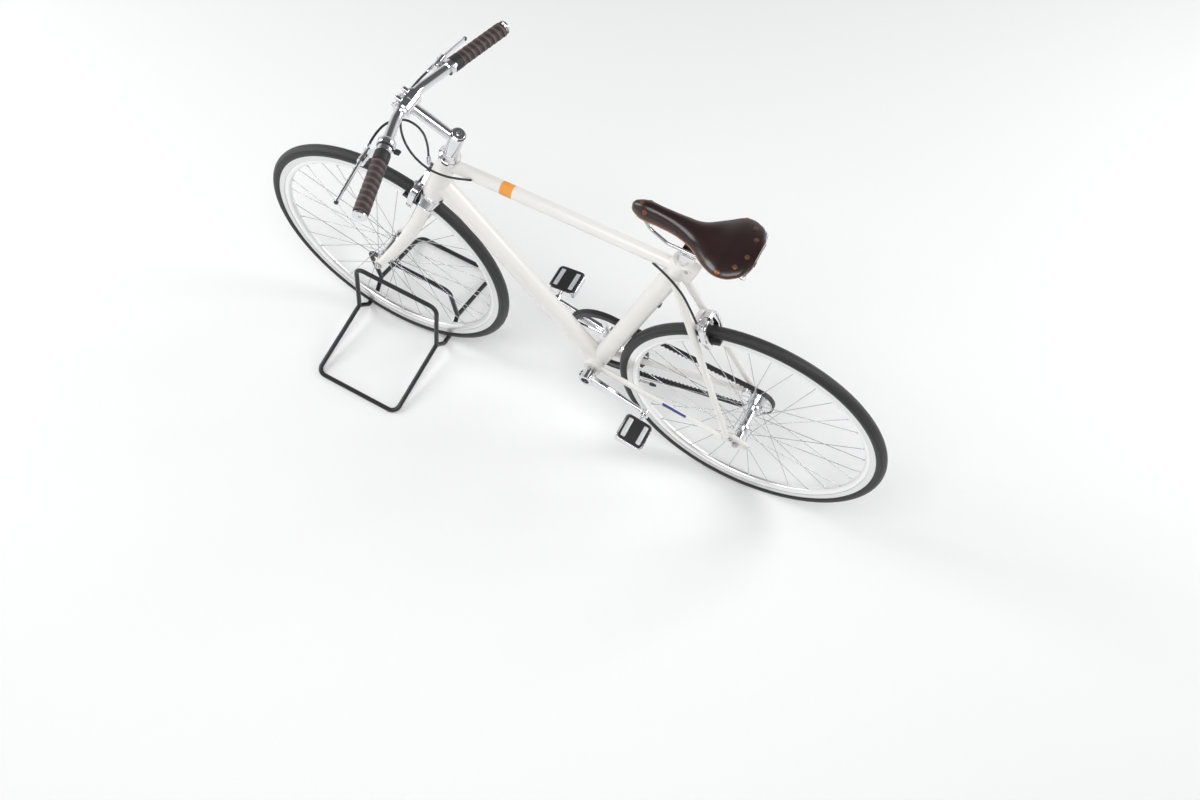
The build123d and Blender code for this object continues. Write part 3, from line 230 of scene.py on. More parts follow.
def finish(material, *names):
    """Gives CAD nodes their finish."""
    for name in names:
        data = node[name].data
        data.materials.clear()
        data.materials.append(material)


white_paint = clouded_material("white_paint", (0.79, 0.77, 0.735), (0.82, 0.805, 0.775), (0.26, 0.34),
                               scale=9, grain=700, depth=0.00002, coat=0.35)
shader_of(white_paint).inputs["Coat Roughness"].default_value = 0.08
finish(white_paint, "head_tube", "top_tube", "down_tube", "seat_tube", "bottom_bracket_shell",
       "chainstay_left", "chainstay_right", "seatstay_left", "seatstay_right", "brake_bridge",
       "fork_blade_left", "fork_blade_right", "rear_dropouts")

# ---------------------------------------------------------------- crown, headset, stem and bar
# Forged and drawn aluminium, machined and then polished to a mirror, with a trace of grain left
# in the gloss. Four small bolts with socket heads clamp the stem round the bar.


def show_mesh(name, data, material, body, crease):
    """An object for a mesh, shaded smooth up to an angle in degrees, riding on a body."""
    data.polygons.foreach_set("use_smooth", [True] * len(data.polygons))
    data.set_sharp_from_angle(angle=radians(crease))
    data.materials.append(material)
    made = bpy.data.objects.new(name, data)
    scene.collection.objects.link(made)
    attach(made, body)
    return made


def mesh_object(name, points, faces, material, body, crease=35):
    """A closed mesh from a grid of points in metres and faces that list point numbers."""
    data = bpy.data.meshes.new(name)
    data.from_pydata(np.asarray(points, dtype=float).reshape(-1, 3).tolist(), [], faces)
    return show_mesh(name, data, material, body, crease)


def square_axes(axis):
    """Two unit directions square to an axis and to each other."""
    aside = axis.orthogonal().normalized()
    return aside, axis.cross(aside)


def unit_ring(aside, across, sides):
    """The directions aside * cos u + across * sin u, for as many even turns u as there are sides."""
    u = np.arange(sides) * tau / sides
    return np.cos(u)[:, None] * np.array(aside) + np.sin(u)[:, None] * np.array(across)


def ring_quads(rings, turned=False):
    """Quads from each row of point numbers to the next, round the rows; turned ones face the other way."""
    low, high = rings[:-1], rings[1:]
    corners = [low, np.roll(low, -1, 1), np.roll(high, -1, 1), high]
    if turned:
        corners = corners[:1] + corners[:0:-1]
    return np.stack(corners, -1).reshape(-1, 4)


def capped_faces(rings, turned=False):
    """Faces of a closed strip of rings: a cap at each end, then the quads between the rings."""
    first, last = rings[0].tolist(), rings[-1].tolist()
    caps = [first, last[::-1]] if turned else [first[::-1], last]
    return caps + ring_quads(rings, turned).tolist()


def lathe(name, origin, axis, profile, material, body, sides=40):
    """Solid of revolution. The profile lists (distance along the axis, radius) in millimetres.

    P(k, u) = origin + axis * a_k + r_k * (aside * cos u + across * sin u)
    A profile that starts and ends at radius 0 is closed by poles, any other one by a bore.
    """
    axis = Vector(axis).normalized()
    along, radius = np.array(profile, dtype=float).T / 1000
    middles = np.array(origin, dtype=float) + np.outer(along, axis)
    grid = middles[:, None] + radius[:, None, None] * unit_ring(*square_axes(axis), sides)
    kept = (radius > 0)[:, None] | (np.arange(sides) == 0)  # a pole keeps one point of its ring
    rings = np.cumsum(kept).reshape(kept.shape) - 1
    if radius[0] > 0:
        rings = np.vstack([rings, rings[:1]])
    faces = [[v for i, v in enumerate(f) if v != f[i - 1]] for f in ring_quads(rings).tolist()]
    return mesh_object(name, grid[kept], faces, material, body)


def round_bolt(name, place, axis, radius, height, material, body, sides=28):
    """A bolt's cylinder head with a socket sunk in its face; radius and height in millimetres."""
    edge, sink = 0.4, height * 0.35
    profile = [(-0.5, 0), (-0.5, radius), (height - edge, radius), (height, radius - edge),
               (height, radius * 0.55), (sink, radius * 0.5), (sink, 0)]
    return lathe(name, place, axis, profile, material, body, sides)


def hex_nut(name, place, axis, radius, height, material, body):
    """A six-sided nut or bolt head; corner radius and height in millimetres."""
    profile = [(-0.5, 0), (-0.5, radius), (height, radius), (height, 0)]
    return lathe(name, place, axis, profile, material, body, 6)


def tube(name, points, radius, material, body, sides=12):
    """A round tube through points in metres, its ends closed; radius in millimetres.

    P(k, u) = point_k + radius * (aside_k * cos u + across_k * sin u)
    Ring k lies square to the chord between its neighbours, and is turned as little as possible
    from ring k - 1.
    """
    points = [Vector(p) for p in points]
    chords = [(b - a).normalized() for a, b in zip(points[:1] + points, points[1:] + points[-1:])]
    asides = [chords[0].orthogonal().normalized()]
    for chord in chords[1:]:
        asides.append((asides[-1] - chord * asides[-1].dot(chord)).normalized())
    acrosses = [chord.cross(aside) for chord, aside in zip(chords, asides)]
    ring = unit_ring(np.array(asides)[:, None], np.array(acrosses)[:, None], sides)
    grid = np.array(points)[:, None] + ring * (radius / 1000)
    rings = np.arange(len(points) * sides).reshape(-1, sides)
    return mesh_object(name, grid, capped_faces(rings), material, body, 50)


def brick(name, centre, x_dir, z_dir, size, edge, material, body):
    """A block with rounded edges, turned by two of its directions; size and edge in millimetres."""
    shape = bmesh.new()
    bmesh.ops.create_cube(shape, size=1)
    bmesh.ops.scale(shape, vec=Vector(size) / 1000, verts=shape.verts)
    bmesh.ops.bevel(shape, geom=shape.edges[:], offset=edge / 1000, segments=3, profile=0.5, affect="EDGES")
    across = Vector(z_dir).cross(Vector(x_dir)).normalized()
    length = Vector(x_dir).normalized()
    turn = Matrix((length, across, length.cross(across))).transposed().to_4x4()
    bmesh.ops.transform(shape, matrix=Matrix.Translation(Vector(centre)) @ turn, verts=shape.verts)
    data = bpy.data.meshes.new(name)
    shape.to_mesh(data)
    shape.free()
    return show_mesh(name, data, material, body, 40)


polished = clouded_material("polished_alloy", (0.83, 0.83, 0.84), (0.72, 0.72, 0.74), (0.05, 0.12),
                            scale=35, grain=400, depth=0.00001, metallic=1.0)
satin = clouded_material("satin_alloy", (0.72, 0.72, 0.73), (0.62, 0.62, 0.64), (0.28, 0.38),
                         scale=60, grain=900, depth=0.000015, metallic=1.0)
steel = clouded_material("bright_steel", (0.62, 0.62, 0.63), (0.5, 0.5, 0.51), (0.18, 0.3),
                         scale=60, grain=900, depth=0.00001, metallic=1.0)
finish(polished, "fork_crown", "stem", "handlebar", "headset_cups", "headset_cover", "crown_race", "stem_cap")

# steer_up runs up the steering axis, and crown is the point of the axis at the fork's crown.
steer_up = Vector((-0.309017, 0, 0.951057))
steer_forward = Vector((0.951057, 0, 0.309017))
crown = Vector((0.337579, 0, 0.666702))
stem_slope = radians(22.5)
stem_rise, stem_reach = 0.235, 0.119
stem_way = Vector((cos(stem_slope), 0, sin(stem_slope)))
stem_square = Vector((-stem_way.z, 0, stem_way.x))
bar_middle = crown + steer_up * stem_rise + stem_way * stem_reach
round_bolt("stem_cap_bolt", crown + steer_up * 0.2602, steer_up, 5, 2.2, steel, "steering")
for side in (1, -1):
    for rise in (1, -1):
        face = bar_middle + stem_way * 0.0165 + Vector((0, side * 0.013, 0))
        ear = face + stem_square * rise * 0.0145
        brick("stem_clamp_ear", ear, (0, 1, 0), stem_way, (9, 9, 13), 1.6, polished, "steering")
        round_bolt("stem_clamp_bolt", ear + stem_way * 0.0065, stem_way, 2.8, 2.4, steel, "steering")
seam_profile = [(0, 16.2), (0, 20.35), (1, 20.35), (1, 16.2)]
lathe("stem_clamp_seam", bar_middle - Vector((0, 0.0005, 0)), (0, 1, 0), seam_profile, steel, "steering", 64)
ring_profile = [(0, 15), (0, 23.6), (1.2, 24), (2.4, 23.6), (2.4, 15)]
lathe("headset_ring", crown + steer_up * 0.1703, steer_up, ring_profile, polished, "steering", 64)
foot_profile = [(0, 15), (0, 19), (2, 18.6), (7, 16.4), (8, 16.1), (8, 15)]
lathe("column_foot", crown + steer_up * 0.1816, steer_up, foot_profile, polished, "steering", 64)

# ---------------------------------------------------------------- grips
# Dark leather strip wound round the bar in overlapping turns and waxed. Each turn carries a paler band
# along its raised face, a painted highlight. A rubber collar closes the inner end, and a polished plug the
# outer one.


def leather_material(name, dark, wear_and_highlight, rough, scale, depth, coat=0.0):
    """Leather whose colour goes from dark to the wear_and_highlight colour by the mesh attribute of that
    name, mottled and pored. On the saddle it marks real wear, on the grips a painted highlight.
    """
    mottled = [0.75 * a + 0.25 * b for a, b in zip(dark, wear_and_highlight)]
    made = clouded_material(name, dark, mottled, rough, scale, scale * 14, depth, coat=coat)
    tree = made.node_tree
    group = next(n for n in tree.nodes if n.bl_idname == "ShaderNodeGroup")
    mask = tree.nodes.new("ShaderNodeAttribute")
    mask.attribute_name = "wear_and_highlight"
    color = mix_node(tree, "RGBA", mask.outputs["Fac"], group.outputs["Color"], rgb(*wear_and_highlight))
    tree.links.new(color, shader_of(made).inputs["Base Color"])
    return made


def add_wear_and_highlight(made, values):
    """Gives each point of an object's mesh its value of the attribute wear_and_highlight."""
    wear_and_highlight = made.data.attributes.new("wear_and_highlight", "FLOAT", "POINT")
    wear_and_highlight.data.foreach_set("value", values)
    return made


def on_grip(y, side):
    """Point on the bar's swept part, in metres, for a distance from the middle in millimetres."""
    return Vector((374.9 - (y - 40) * 0.277325, side * y, 935.74 - (y - 40) * 0.008475)) / 1000


def wound_grip(name, side, material, inner=152, outer=272, radius=16.4, pitch=14.6):
    """Leather strip wound round the bar, as a closed sleeve; lengths in millimetres.

    r(s, u) = radius - 1.6 * (2 * f - 1) ** 8 - 0.9 * f, with f = frac(s / pitch + side * u / tau)
    The attribute wear_and_highlight is a broad peak at f = 0.3, on the raised face of each turn: a painted
    highlight.
    """
    rows, sides, bore_radius, end_step = 190, 64, 11.15, 2.2
    start, end = on_grip(inner, side), on_grip(outer, side)
    way = (end - start).normalized()
    s = np.linspace(0, (end - start).length * 1000, rows)
    u = np.arange(sides) * tau / sides
    s_grid, u_grid = np.meshgrid(s, u, indexing="ij")
    f = np.mod(s_grid / pitch + side * u_grid / tau, 1)
    r = radius - 1.6 * (2 * f - 1) ** 8 - 0.9 * f
    r[0] = r[-1] = radius - end_step
    ring = unit_ring(*square_axes(way), sides)
    skin = np.array(start) + s_grid[..., None] / 1000 * np.array(way) + ring * (r / 1000)[..., None]
    bore = np.array([start, end])[:, None] + ring * (bore_radius / 1000)
    rings = np.arange((rows + 2) * sides).reshape(-1, sides)
    faces = ring_quads(np.vstack([rings, rings[:1]])).tolist()
    made = mesh_object(name, np.concatenate([bore[:1], skin, bore[1:]]), faces, material, "steering", 60)
    # Painted highlight: a pale band along the raised face of each turn.
    highlight_band = np.exp(-((f - 0.3) / 0.2) ** 2)
    return add_wear_and_highlight(made, np.concatenate([np.zeros(sides), highlight_band.ravel(), np.zeros(sides)]))


# The grip's second colour is the pale painted highlight on each turn.
grip_leather = leather_material("grip_leather", (0.016, 0.0075, 0.0075), (0.11, 0.078, 0.073), (0.45, 0.62),
                                scale=90, depth=0.0002)
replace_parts(wound_grip("grip_winding_left", 1, grip_leather), "grip_left")
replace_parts(wound_grip("grip_winding_right", -1, grip_leather), "grip_right")
rubber = clouded_material("black_rubber", (0.016, 0.016, 0.017), (0.026, 0.026, 0.027), (0.45, 0.6),
                          scale=40, grain=900, depth=0.00004)
finish(rubber, "grip_collars")
finish(polished, "bar_end_plugs")
for side in (1, -1):
    plug_way = on_grip(276, side) - on_grip(270, side)
    round_bolt("plug_screw", on_grip(280.2, side), plug_way, 3.2, 0.8, steel, "steering")

# ---------------------------------------------------------------- bell and brake levers
# The bell is a turned ring round the bar on a black carrier, struck by a black thumb lever.
# The brake levers are forged, tumbled and polished, each on a split clamp with one bolt.
black_plastic = clouded_material("black_plastic", (0.014, 0.014, 0.015), (0.022, 0.022, 0.023), (0.32, 0.45),
                                 scale=60, grain=900, depth=0.00003)
finish(polished, "bell", "brake_lever_left", "brake_lever_right")
bell_way = (on_grip(117, 1) - on_grip(103, 1)).normalized()
dome_profile = [(0, 12), (-1.2, 15.5), (-0.6, 18.2), (1, 19), (4.4, 19.2), (4.8, 18.8), (5.4, 18.8),
                (5.8, 19.2), (11, 19), (13.2, 17.6), (13.6, 15), (12.6, 14.4), (12.6, 12)]
lathe("bell_dome", on_grip(103.2, 1), bell_way, dome_profile, polished, "steering", 72)
carrier_profile = [(0, 11.4), (0, 16.4), (4.4, 16.8), (5, 16.2), (5, 11.4)]
lathe("bell_carrier", on_grip(113.4, 1), bell_way, carrier_profile, black_plastic, "steering", 56)
bell_foot = on_grip(116, 1)
thumb_way = Vector((-0.93, 0.1, 0.2)).normalized()
thumb_arm = [bell_foot + thumb_way * reach for reach in (0.014, 0.019, 0.025)]
tube("bell_lever_arm", thumb_arm, 2.2, black_plastic, "steering")
brick("bell_thumb_pad", bell_foot + thumb_way * 0.031, thumb_way, (0.15, 0.1, 1), (14, 12, 7), 3,
      black_plastic, "steering")
end_profile = [(0, 0), (0.4, 2.6), (2, 4.2), (4.6, 4.8), (7.4, 4), (9, 1.8), (9.4, 0)]
pivot_profile = [(0, 0), (0, 4), (0.8, 4.8), (14, 4.8), (14.8, 4), (14.8, 0)]
clamp_back = Vector((-0.75, 0, 0.66)).normalized()
for side in (1, -1):
    clamp = on_grip(125, side)
    bolt_seat = clamp + clamp_back * 0.0205 + Vector((0, 0, 0.001))
    brick("lever_clamp_ear", clamp + clamp_back * 0.0175, (0, 1, 0), clamp_back, (10, 9, 7), 1.4,
          polished, "steering")
    round_bolt("lever_clamp_bolt", bolt_seat, clamp_back, 2.9, 2, steel, "steering")
    tip = crown + Vector((0.0524, side * 0.247, 0.2205))
    run = Vector((0.002, side * 0.107, -0.0248)).normalized()
    lathe("lever_end", tip - run * 0.004, run, end_profile, black_plastic, "steering", 28)
    pivot = crown + Vector((0.0544, side * 0.148, 0.2433)) - Vector((0, 0, 0.0075))
    lathe("lever_pivot", pivot, (0, 0, 1), pivot_profile, steel, "steering", 32)

# ---------------------------------------------------------------- brake cables
# Black extruded casing with turned ferrules at its ends. The loop in front of the head tube
# bends as the bar turns; it is drawn as one smooth curve led by its way points.
casing = clouded_material("cable_casing", (0.012, 0.012, 0.013), (0.02, 0.02, 0.021), (0.3, 0.42),
                          scale=80, grain=900, depth=0.00002)
finish(casing, "front_brake_cable", "rear_brake_cable")


def ferrule(name, end, inside, body):
    """Metal cap on the last 11 mm of a casing, which comes to its end from a point inside it."""
    length = 11
    profile = [(0, 2.2), (0, 3), (1, 3.3), (length - 1, 3.3), (length, 2.9), (length, 2.2)]
    run = (end - inside).normalized()
    lathe(name, end - run * (length / 1000), run, profile, steel, body, 24)


def from_crown(x, y, z):
    """Point in metres, its way from the fork's crown given in millimetres."""
    return crown + Vector((x, y, z)) / 1000


lever_right_end, lever_left_end = from_crown(58.4, -122, 244.3), from_crown(58.4, 122, 244.3)
lever_left_inside = from_crown(60.4, 92, 251.3)
front_cable_end, front_cable_inside = from_crown(20.4, -24, 83.3), from_crown(15.4, -20, 133.3)
rear_cable_end, rear_cable_inside = Vector((-0.3240, 0.028, 0.672)), Vector((-0.3100, 0.030, 0.704))
loop_offsets = [(68.4, -92, 235.3), (76.4, -60, 223.3), (75.4, -28, 205.3), (64.4, 2, 185.3),
                (42.4, 22, 166.3), (13.4, 33, 148.3), (-23.6, 38, 137.3), (-61.6, 34, 134.3),
                (-91.6, 25, 135.3), (-113, 16.6, 136)]
loop_points = [lever_right_end] + [from_crown(*offset) for offset in loop_offsets]
line = bpy.data.curves.new("cable_line", "CURVE")
line.dimensions = "3D"
spline = line.splines.new("NURBS")
spline.points.add(len(loop_points) - 1)
for point, place in zip(spline.points, loop_points):
    point.co = (*place, 1)
spline.order_u = 3
spline.use_endpoint_u = True
spline.resolution_u = 8
line.bevel_depth = 0.0025
line.bevel_resolution = 4
line.use_fill_caps = True
drawn = bpy.data.objects.new("cable_line", line)
scene.collection.objects.link(drawn)
loop_mesh = bpy.data.meshes.new_from_object(drawn.evaluated_get(bpy.context.evaluated_depsgraph_get()))
bpy.data.objects.remove(drawn)
rear_loop = bpy.data.objects.new("rear_cable_curve", loop_mesh)
scene.collection.objects.link(rear_loop)
loop_mesh.polygons.foreach_set("use_smooth", [True] * len(loop_mesh.polygons))
loop_mesh.materials.clear()
loop_mesh.materials.append(casing)
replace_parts(rear_loop, "rear_cable_loop")
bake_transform(rear_loop)
ferrule("ferrule_lever_right", lever_right_end, loop_points[1], "steering")
ferrule("ferrule_lever_left", lever_left_end, lever_left_inside, "steering")
ferrule("ferrule_front_brake", front_cable_end, front_cable_inside, "steering")
ferrule("ferrule_rear_brake", rear_cable_end, rear_cable_inside, "frame")

# ---------------------------------------------------------------- brake calipers
# Forged dual-arm calipers, polished, on a centre bolt with a hexagon nut. A turned barrel adjusts
# the cable, a wire spring behind each arm opens it, and the pads are black rubber.
finish(polished, "front_brake_caliper", "rear_brake_caliper")
finish(rubber, "front_brake_pads", "rear_brake_pads")
washer_profile = [(-3, 0), (-3, 8.8), (1.2, 8.8), (1.2, 0)]
stud_profile = [(0, 0), (0, 3), (2.2, 3), (2.8, 2.4), (2.8, 0)]
adjuster_profile = [(0, 2.6), (0, 4.6), (1, 5.2), (5.4, 5.2), (6.2, 4.3), (6.2, 2.6)]
pad_bolt_profile = [(0, 0), (0, 5.2), (1.4, 5.2), (1.4, 3.6), (4.4, 3.4), (4.4, 0)]
boss_profile = [(0, 0), (0, 5), (1.2, 4.6), (1.6, 3), (1.6, 0)]


def dress_caliper(place, mount, up, out, stand_off, pad_up, cable_end, cable_inside, barrel, body):
    """Bolts, springs, ribs and adjuster of one caliper, and a thin black bar of painted shade in the gap
    between its arms.

    The arms stand stand_off millimetres out from the mount, and the pads' middles lie pad_up
    millimetres along up from it. The adjuster's barrel reaches barrel millimetres past the cable's end.
    """
    aside = Vector((0, 1, 0))

    def at(y, z, forward):
        """Point from the arms' root: sideways, up and outward in millimetres."""
        return mount + aside * (y / 1000) + up * (z / 1000) + out * ((stand_off + forward) / 1000)

    front = at(0, 0, 12.6)
    lathe(place + "_washer", front, out, washer_profile, black_plastic, body, 36)
    # Painted shade: a thin black bar stands in for the dark gap between the arms.
    arm_gap_shade = front + up * 0.005 - out * 0.0005
    brick(place + "_slot", arm_gap_shade, aside, out, (2.4, 17, 2), 0.5, black_plastic, body)
    hex_nut(place + "_nut", front + out * 0.0012, out, 6.4, 4.6, steel, body)
    lathe(place + "_stud", front + out * 0.0058, out, stud_profile, steel, body, 24)
    run = (cable_end - cable_inside).normalized()
    lathe(place + "_adjuster", cable_end + run * 0.001, run, adjuster_profile, steel, body, 16)
    hex_nut(place + "_lock_nut", cable_end + run * ((barrel - 8) / 1000), run, 5.6, 3, satin, body)
    hip_up = pad_up / 2 - 6
    rib_line = [(4, 4), (16, 3.4), (25, 0.5), (29.4, -6), (30.6, hip_up), (28.4, pad_up * 0.75 - 6),
                (25.6, pad_up - 4)]
    spring_line = [(3, 6), (12, 9), (20, 5), (27, -5), (29, -16), (27, -27)]
    for side in (1, -1):
        pad_seat = at(side * 31.5, pad_up, 6)
        lathe(place + "_pad_bolt", pad_seat, aside * side, pad_bolt_profile, steel, body, 28)
        lathe(place + "_arm_boss", at(side * 31, hip_up, 12.5), out, boss_profile, satin, body, 32)
        tube(place + "_rib", [at(side * y, z, 12.2) for y, z in rib_line], 3.4, polished, body, 14)
        tube(place + "_spring", [at(side * y, z, -2.6) for y, z in spring_line], 1, steel, body, 10)


front_mount = crown - steer_up * 0.006 + steer_forward * 0.0175
dress_caliper("front_brake", front_mount, steer_up, steer_forward, 12, -45.3,
              front_cable_end, front_cable_inside, 22, "steering")
stay_up = Vector((0.46386, 0, 0.8859))
stay_back = Vector((-0.8859, 0, 0.46386))
rear_mount = Vector((-0.31349, 0, 0.65009)) + stay_back * 0.0071
dress_caliper("rear_brake", rear_mount, stay_up, stay_back, 10, -50.4,
              rear_cable_end, rear_cable_inside, 16, "frame")

# ---------------------------------------------------------------- tyres
# Moulded black rubber, matt on the sides, with a fine file tread on the crown that has
# worn to a slight sheen.
wheels = (("front", Vector((0.494, 0, 0.339))), ("rear", Vector((-0.494, 0, 0.339))))
wheel_places = ("Distance", "Turn", "Side")


def math_node(tree, operation, *values):
    """Output of a Math node; each value is a number or another node's output."""
    made = tree.nodes.new("ShaderNodeMath")
    made.operation = operation
    for socket, value in zip(made.inputs, values):
        feed(tree, socket, value)
    return made.outputs[0]


def around_axle(tree, axle):
    """Nodes that give the distance from a wheel's axle, the turn about it and the sideways place."""
    place = tree.nodes.new("ShaderNodeTexCoord")
    shift = tree.nodes.new("ShaderNodeMapping")
    shift.inputs["Location"].default_value = -axle
    split = tree.nodes.new("ShaderNodeSeparateXYZ")
    flat = tree.nodes.new("ShaderNodeCombineXYZ")
    length = tree.nodes.new("ShaderNodeVectorMath")
    length.operation = "LENGTH"
    feed(tree, shift.inputs["Vector"], place.outputs["Object"])
    feed(tree, split.inputs[0], shift.outputs[0])
    for axis in ("X", "Z"):
        feed(tree, flat.inputs[axis], split.outputs[axis])
    feed(tree, length.inputs[0], flat.outputs[0])
    turn = math_node(tree, "ARCTAN2", split.outputs["X"], split.outputs["Z"])
    return length.outputs["Value"], turn, split.outputs["Y"]


def tread_group():
    """Group: a file tread on the crown of a tyre and plain sides; puts out colour, roughness and normal.

    height = 0.5 * sin(520 * turn + 1300 * |side|) + 0.3 * sin(2600 * side), beyond tread_start metres.
    """
    tread_start, tread_depth = 0.3325, 0.0004
    tree, into, out = shading_group("file_tread", (), wheel_places)
    math = partial(math_node, tree)
    distance, turn, side = (into.outputs[name] for name in wheel_places)
    slant = math("MULTIPLY", math("ABSOLUTE", side), 1300)
    wave = math("SINE", math("ADD", math("MULTIPLY", turn, 520), slant))
    groove = math("SINE", math("MULTIPLY", side, 2600))
    on_crown = math("GREATER_THAN", distance, tread_start)
    rise = math("ADD", math("MULTIPLY", wave, 0.5), math("MULTIPLY", groove, 0.3))
    height = math("MULTIPLY", rise, on_crown)
    color = mix_node(tree, "RGBA", on_crown, rgb(0.010, 0.010, 0.0105), rgb(0.019, 0.019, 0.0198))
    rough = math("MULTIPLY_ADD", on_crown, -0.08, 0.5)
    return close_group(tree, out, color, rough, height, tread_depth)


def wheel_material(name, group, axle, metallic=0.0):
    """A finish that follows a wheel round its axle."""
    made = new_material(name, (0.5, 0.5, 0.5), 0.5, metallic)
    used = use_group(made, group)
    for socket, value in zip(wheel_places, around_axle(made.node_tree, axle)):
        feed(made.node_tree, used.inputs[socket], value)
    return made


tread = tread_group()
for place, axle in wheels:
    finish(wheel_material(place + "_tread", tread, axle), place + "_tyre")

# ---------------------------------------------------------------- rims, spokes and hubs
# Extruded aluminium rims, bright anodised, with machined brake tracks whose fine grooves run
# round the wheel. Steel spokes screw into brass nipples, plated; the hubs are turned.


def rim_group():
    """Group: turned grooves on the brake track, a dark line inside it; colour, roughness and normal.

    The ramp runs over band metres outward from band_start; wave = sin(9000 * distance)
    """
    band_start, band, groove_depth = 0.288, 0.03, 0.000004
    tree, into, out = shading_group("turned_rim", (), wheel_places)
    math = partial(math_node, tree)
    distance = into.outputs["Distance"]
    track = tree.nodes.new("ShaderNodeValToRGB")
    feed(tree, track.inputs[0], math("MULTIPLY_ADD", distance, 1 / band, -band_start / band))
    bed, wall = track.color_ramp.elements
    bed.position, bed.color = 0.44, rgb(0.93, 0.93, 0.925)
    wall.position, wall.color = 0.475, rgb(0.80, 0.80, 0.80)
    track.color_ramp.elements.new(0.46).color = rgb(0.42, 0.42, 0.42)
    wave = math("SINE", math("MULTIPLY", distance, 9000))
    rough = math("MULTIPLY_ADD", wave, 0.06, 0.36)
    return close_group(tree, out, track.outputs[0], rough, wave, groove_depth)


turned_rim = rim_group()
for place, axle in wheels:
    finish(wheel_material(place + "_rim_finish", turned_rim, axle, 1.0), place + "_rim")
finish(polished, "front_hub", "rear_hub")
finish(steel, "front_spokes", "rear_spokes", "front_axle", "rear_axle")
spokes_a_side, spoke_step = 16, 22.5
nipple_reach = 0.2895
nipple_profile = [(0, 0), (0, 2.6), (2, 2.2), (9, 1.8), (10, 1.2), (10, 0)]
for place, axle in wheels:
    for number in range(2 * spokes_a_side):
        side = 1 if number < spokes_a_side else -1
        k = number % spokes_a_side
        lead = 67.5 if k % 2 else -67.5
        turn = radians(k * spoke_step + (0 if side > 0 else spoke_step / 2) + lead)
        outward = Vector((cos(turn), side * 0.007, sin(turn)))
        seat = axle + Vector((outward.x, 0, outward.z)) * nipple_reach + Vector((0, side * 0.002, 0))
        lathe(f"{place}_nipple_{number}", seat, -outward, nipple_profile, satin, place + "_wheel", 12)
valve_reach = 0.2885
valve_profile = [(0, 0), (0, 5), (1.5, 5), (2, 3.4), (2, 2.9), (30, 2.9), (30, 0)]
cap_profile = [(0, 0), (0, 4), (1, 4.4), (9, 4.2), (15, 3), (17, 1.8), (17.4, 0)]
valve_ways = (Vector((-0.5, 0, 0.866)), Vector((0.9748, 0, -0.2232)))
for (place, axle), way in zip(wheels, valve_ways):
    seat = axle + way * valve_reach
    lathe(f"{place}_valve", seat, -way, valve_profile, steel, place + "_wheel", 24)
    lathe(f"{place}_valve_cap", seat - way * 0.028, -way, cap_profile, black_plastic, place + "_wheel", 24)

# ---------------------------------------------------------------- belt, ring and sprocket
# A moulded rubber belt, toothed inside, runs from a black anodised ring on five polished arms to
# a polished sprocket on the rear hub. Chainring bolts hold the ring to the arms.
belt_rubber = clouded_material("belt_rubber", (0.012, 0.012, 0.013), (0.02, 0.02, 0.021), (0.42, 0.55),
                               scale=60, grain=900, depth=0.00005)
black_metal = clouded_material("black_anodised", (0.014, 0.014, 0.015), (0.022, 0.022, 0.024), (0.28, 0.38),
                               scale=60, grain=900, depth=0.00001)
finish(belt_rubber, "drive_belt")
finish(black_metal, "belt_ring")
finish(polished, "rear_sprocket")
bracket = Vector((-0.098, 0, 0.290))
ring_arms, bolt_circle, ring_side = 5, 0.0915, -0.064
for k in range(ring_arms):
    turn = tau * k / ring_arms
    seat = bracket + Vector((cos(turn) * bolt_circle, ring_side, sin(turn) * bolt_circle))
    round_bolt(f"ring_bolt_{k}", seat, (0, -1, 0), 5, 1.6, steel, "crank")

# ---------------------------------------------------------------- cranks
# Cold-forged arms with a mirror polish, pinched on to a hollow spindle by two bolts each. Black
# caps close the spindle's ends.
finish(polished, "crank_arm_left", "crank_arm_right")
finish(steel, "crank_spindle")
spindle_cap_profile = [(0, 0), (0, 10.8), (5, 10.8), (5.6, 10.2), (5.6, 4), (3, 3.6), (3, 0)]
boss_rim_profile = [(0, 11), (0, 19.6), (1.2, 18.8), (1.6, 17.6), (1.6, 12), (1, 11)]
for side, boss_face in ((1, 74), (-1, 84)):
    outward = Vector((0, side, 0))
    cap_seat = bracket + outward * ((boss_face - 8) / 1000)
    lathe("spindle_cap", cap_seat, outward, spindle_cap_profile, black_plastic, "crank", 40)
    rim_seat = bracket + outward * ((boss_face - 0.6) / 1000)
    lathe("boss_rim", rim_seat, outward, boss_rim_profile, polished, "crank", 64)
    pinch_way = Vector((side * 0.83, 0, 0.55))
    for step in (-14, -6):
        seat = bracket + outward * ((boss_face + step) / 1000) + pinch_way * 0.0188
        round_bolt("pinch_bolt", seat, pinch_way, 3.1, 2, black_plastic, "crank")

# ---------------------------------------------------------------- pedals
# Cast alloy bodies that turn on steel spindles. Grip bars, hatched for the sole, run along both
# faces between black moulded tread plates.
grip_steel = clouded_material("hatched_steel", (0.92, 0.92, 0.92), (0.66, 0.66, 0.67), (0.34, 0.46),
                              scale=700, grain=1600, depth=0.00012, metallic=0.6)
finish(polished, "pedal_left", "pedal_right")
finish(black_plastic, "pedal_plates_left", "pedal_plates_right")
for middle, tilt, body in ((Vector((-0.2605, 0.130, 0.26135)), radians(12), "pedal_left"),
                           (Vector((0.0645, -0.140, 0.31865)), radians(-9), "pedal_right")):
    along = Vector((cos(tilt), 0, sin(tilt)))
    face = Vector((-along.z, 0, along.x))
    for step in (-0.021, 0.021):
        for rise in (0.0114, -0.0114):
            seat = middle + along * step + face * rise
            brick("pedal_bar", seat, along, face, (11.4, 52, 1.6), 0.6, grip_steel, body)

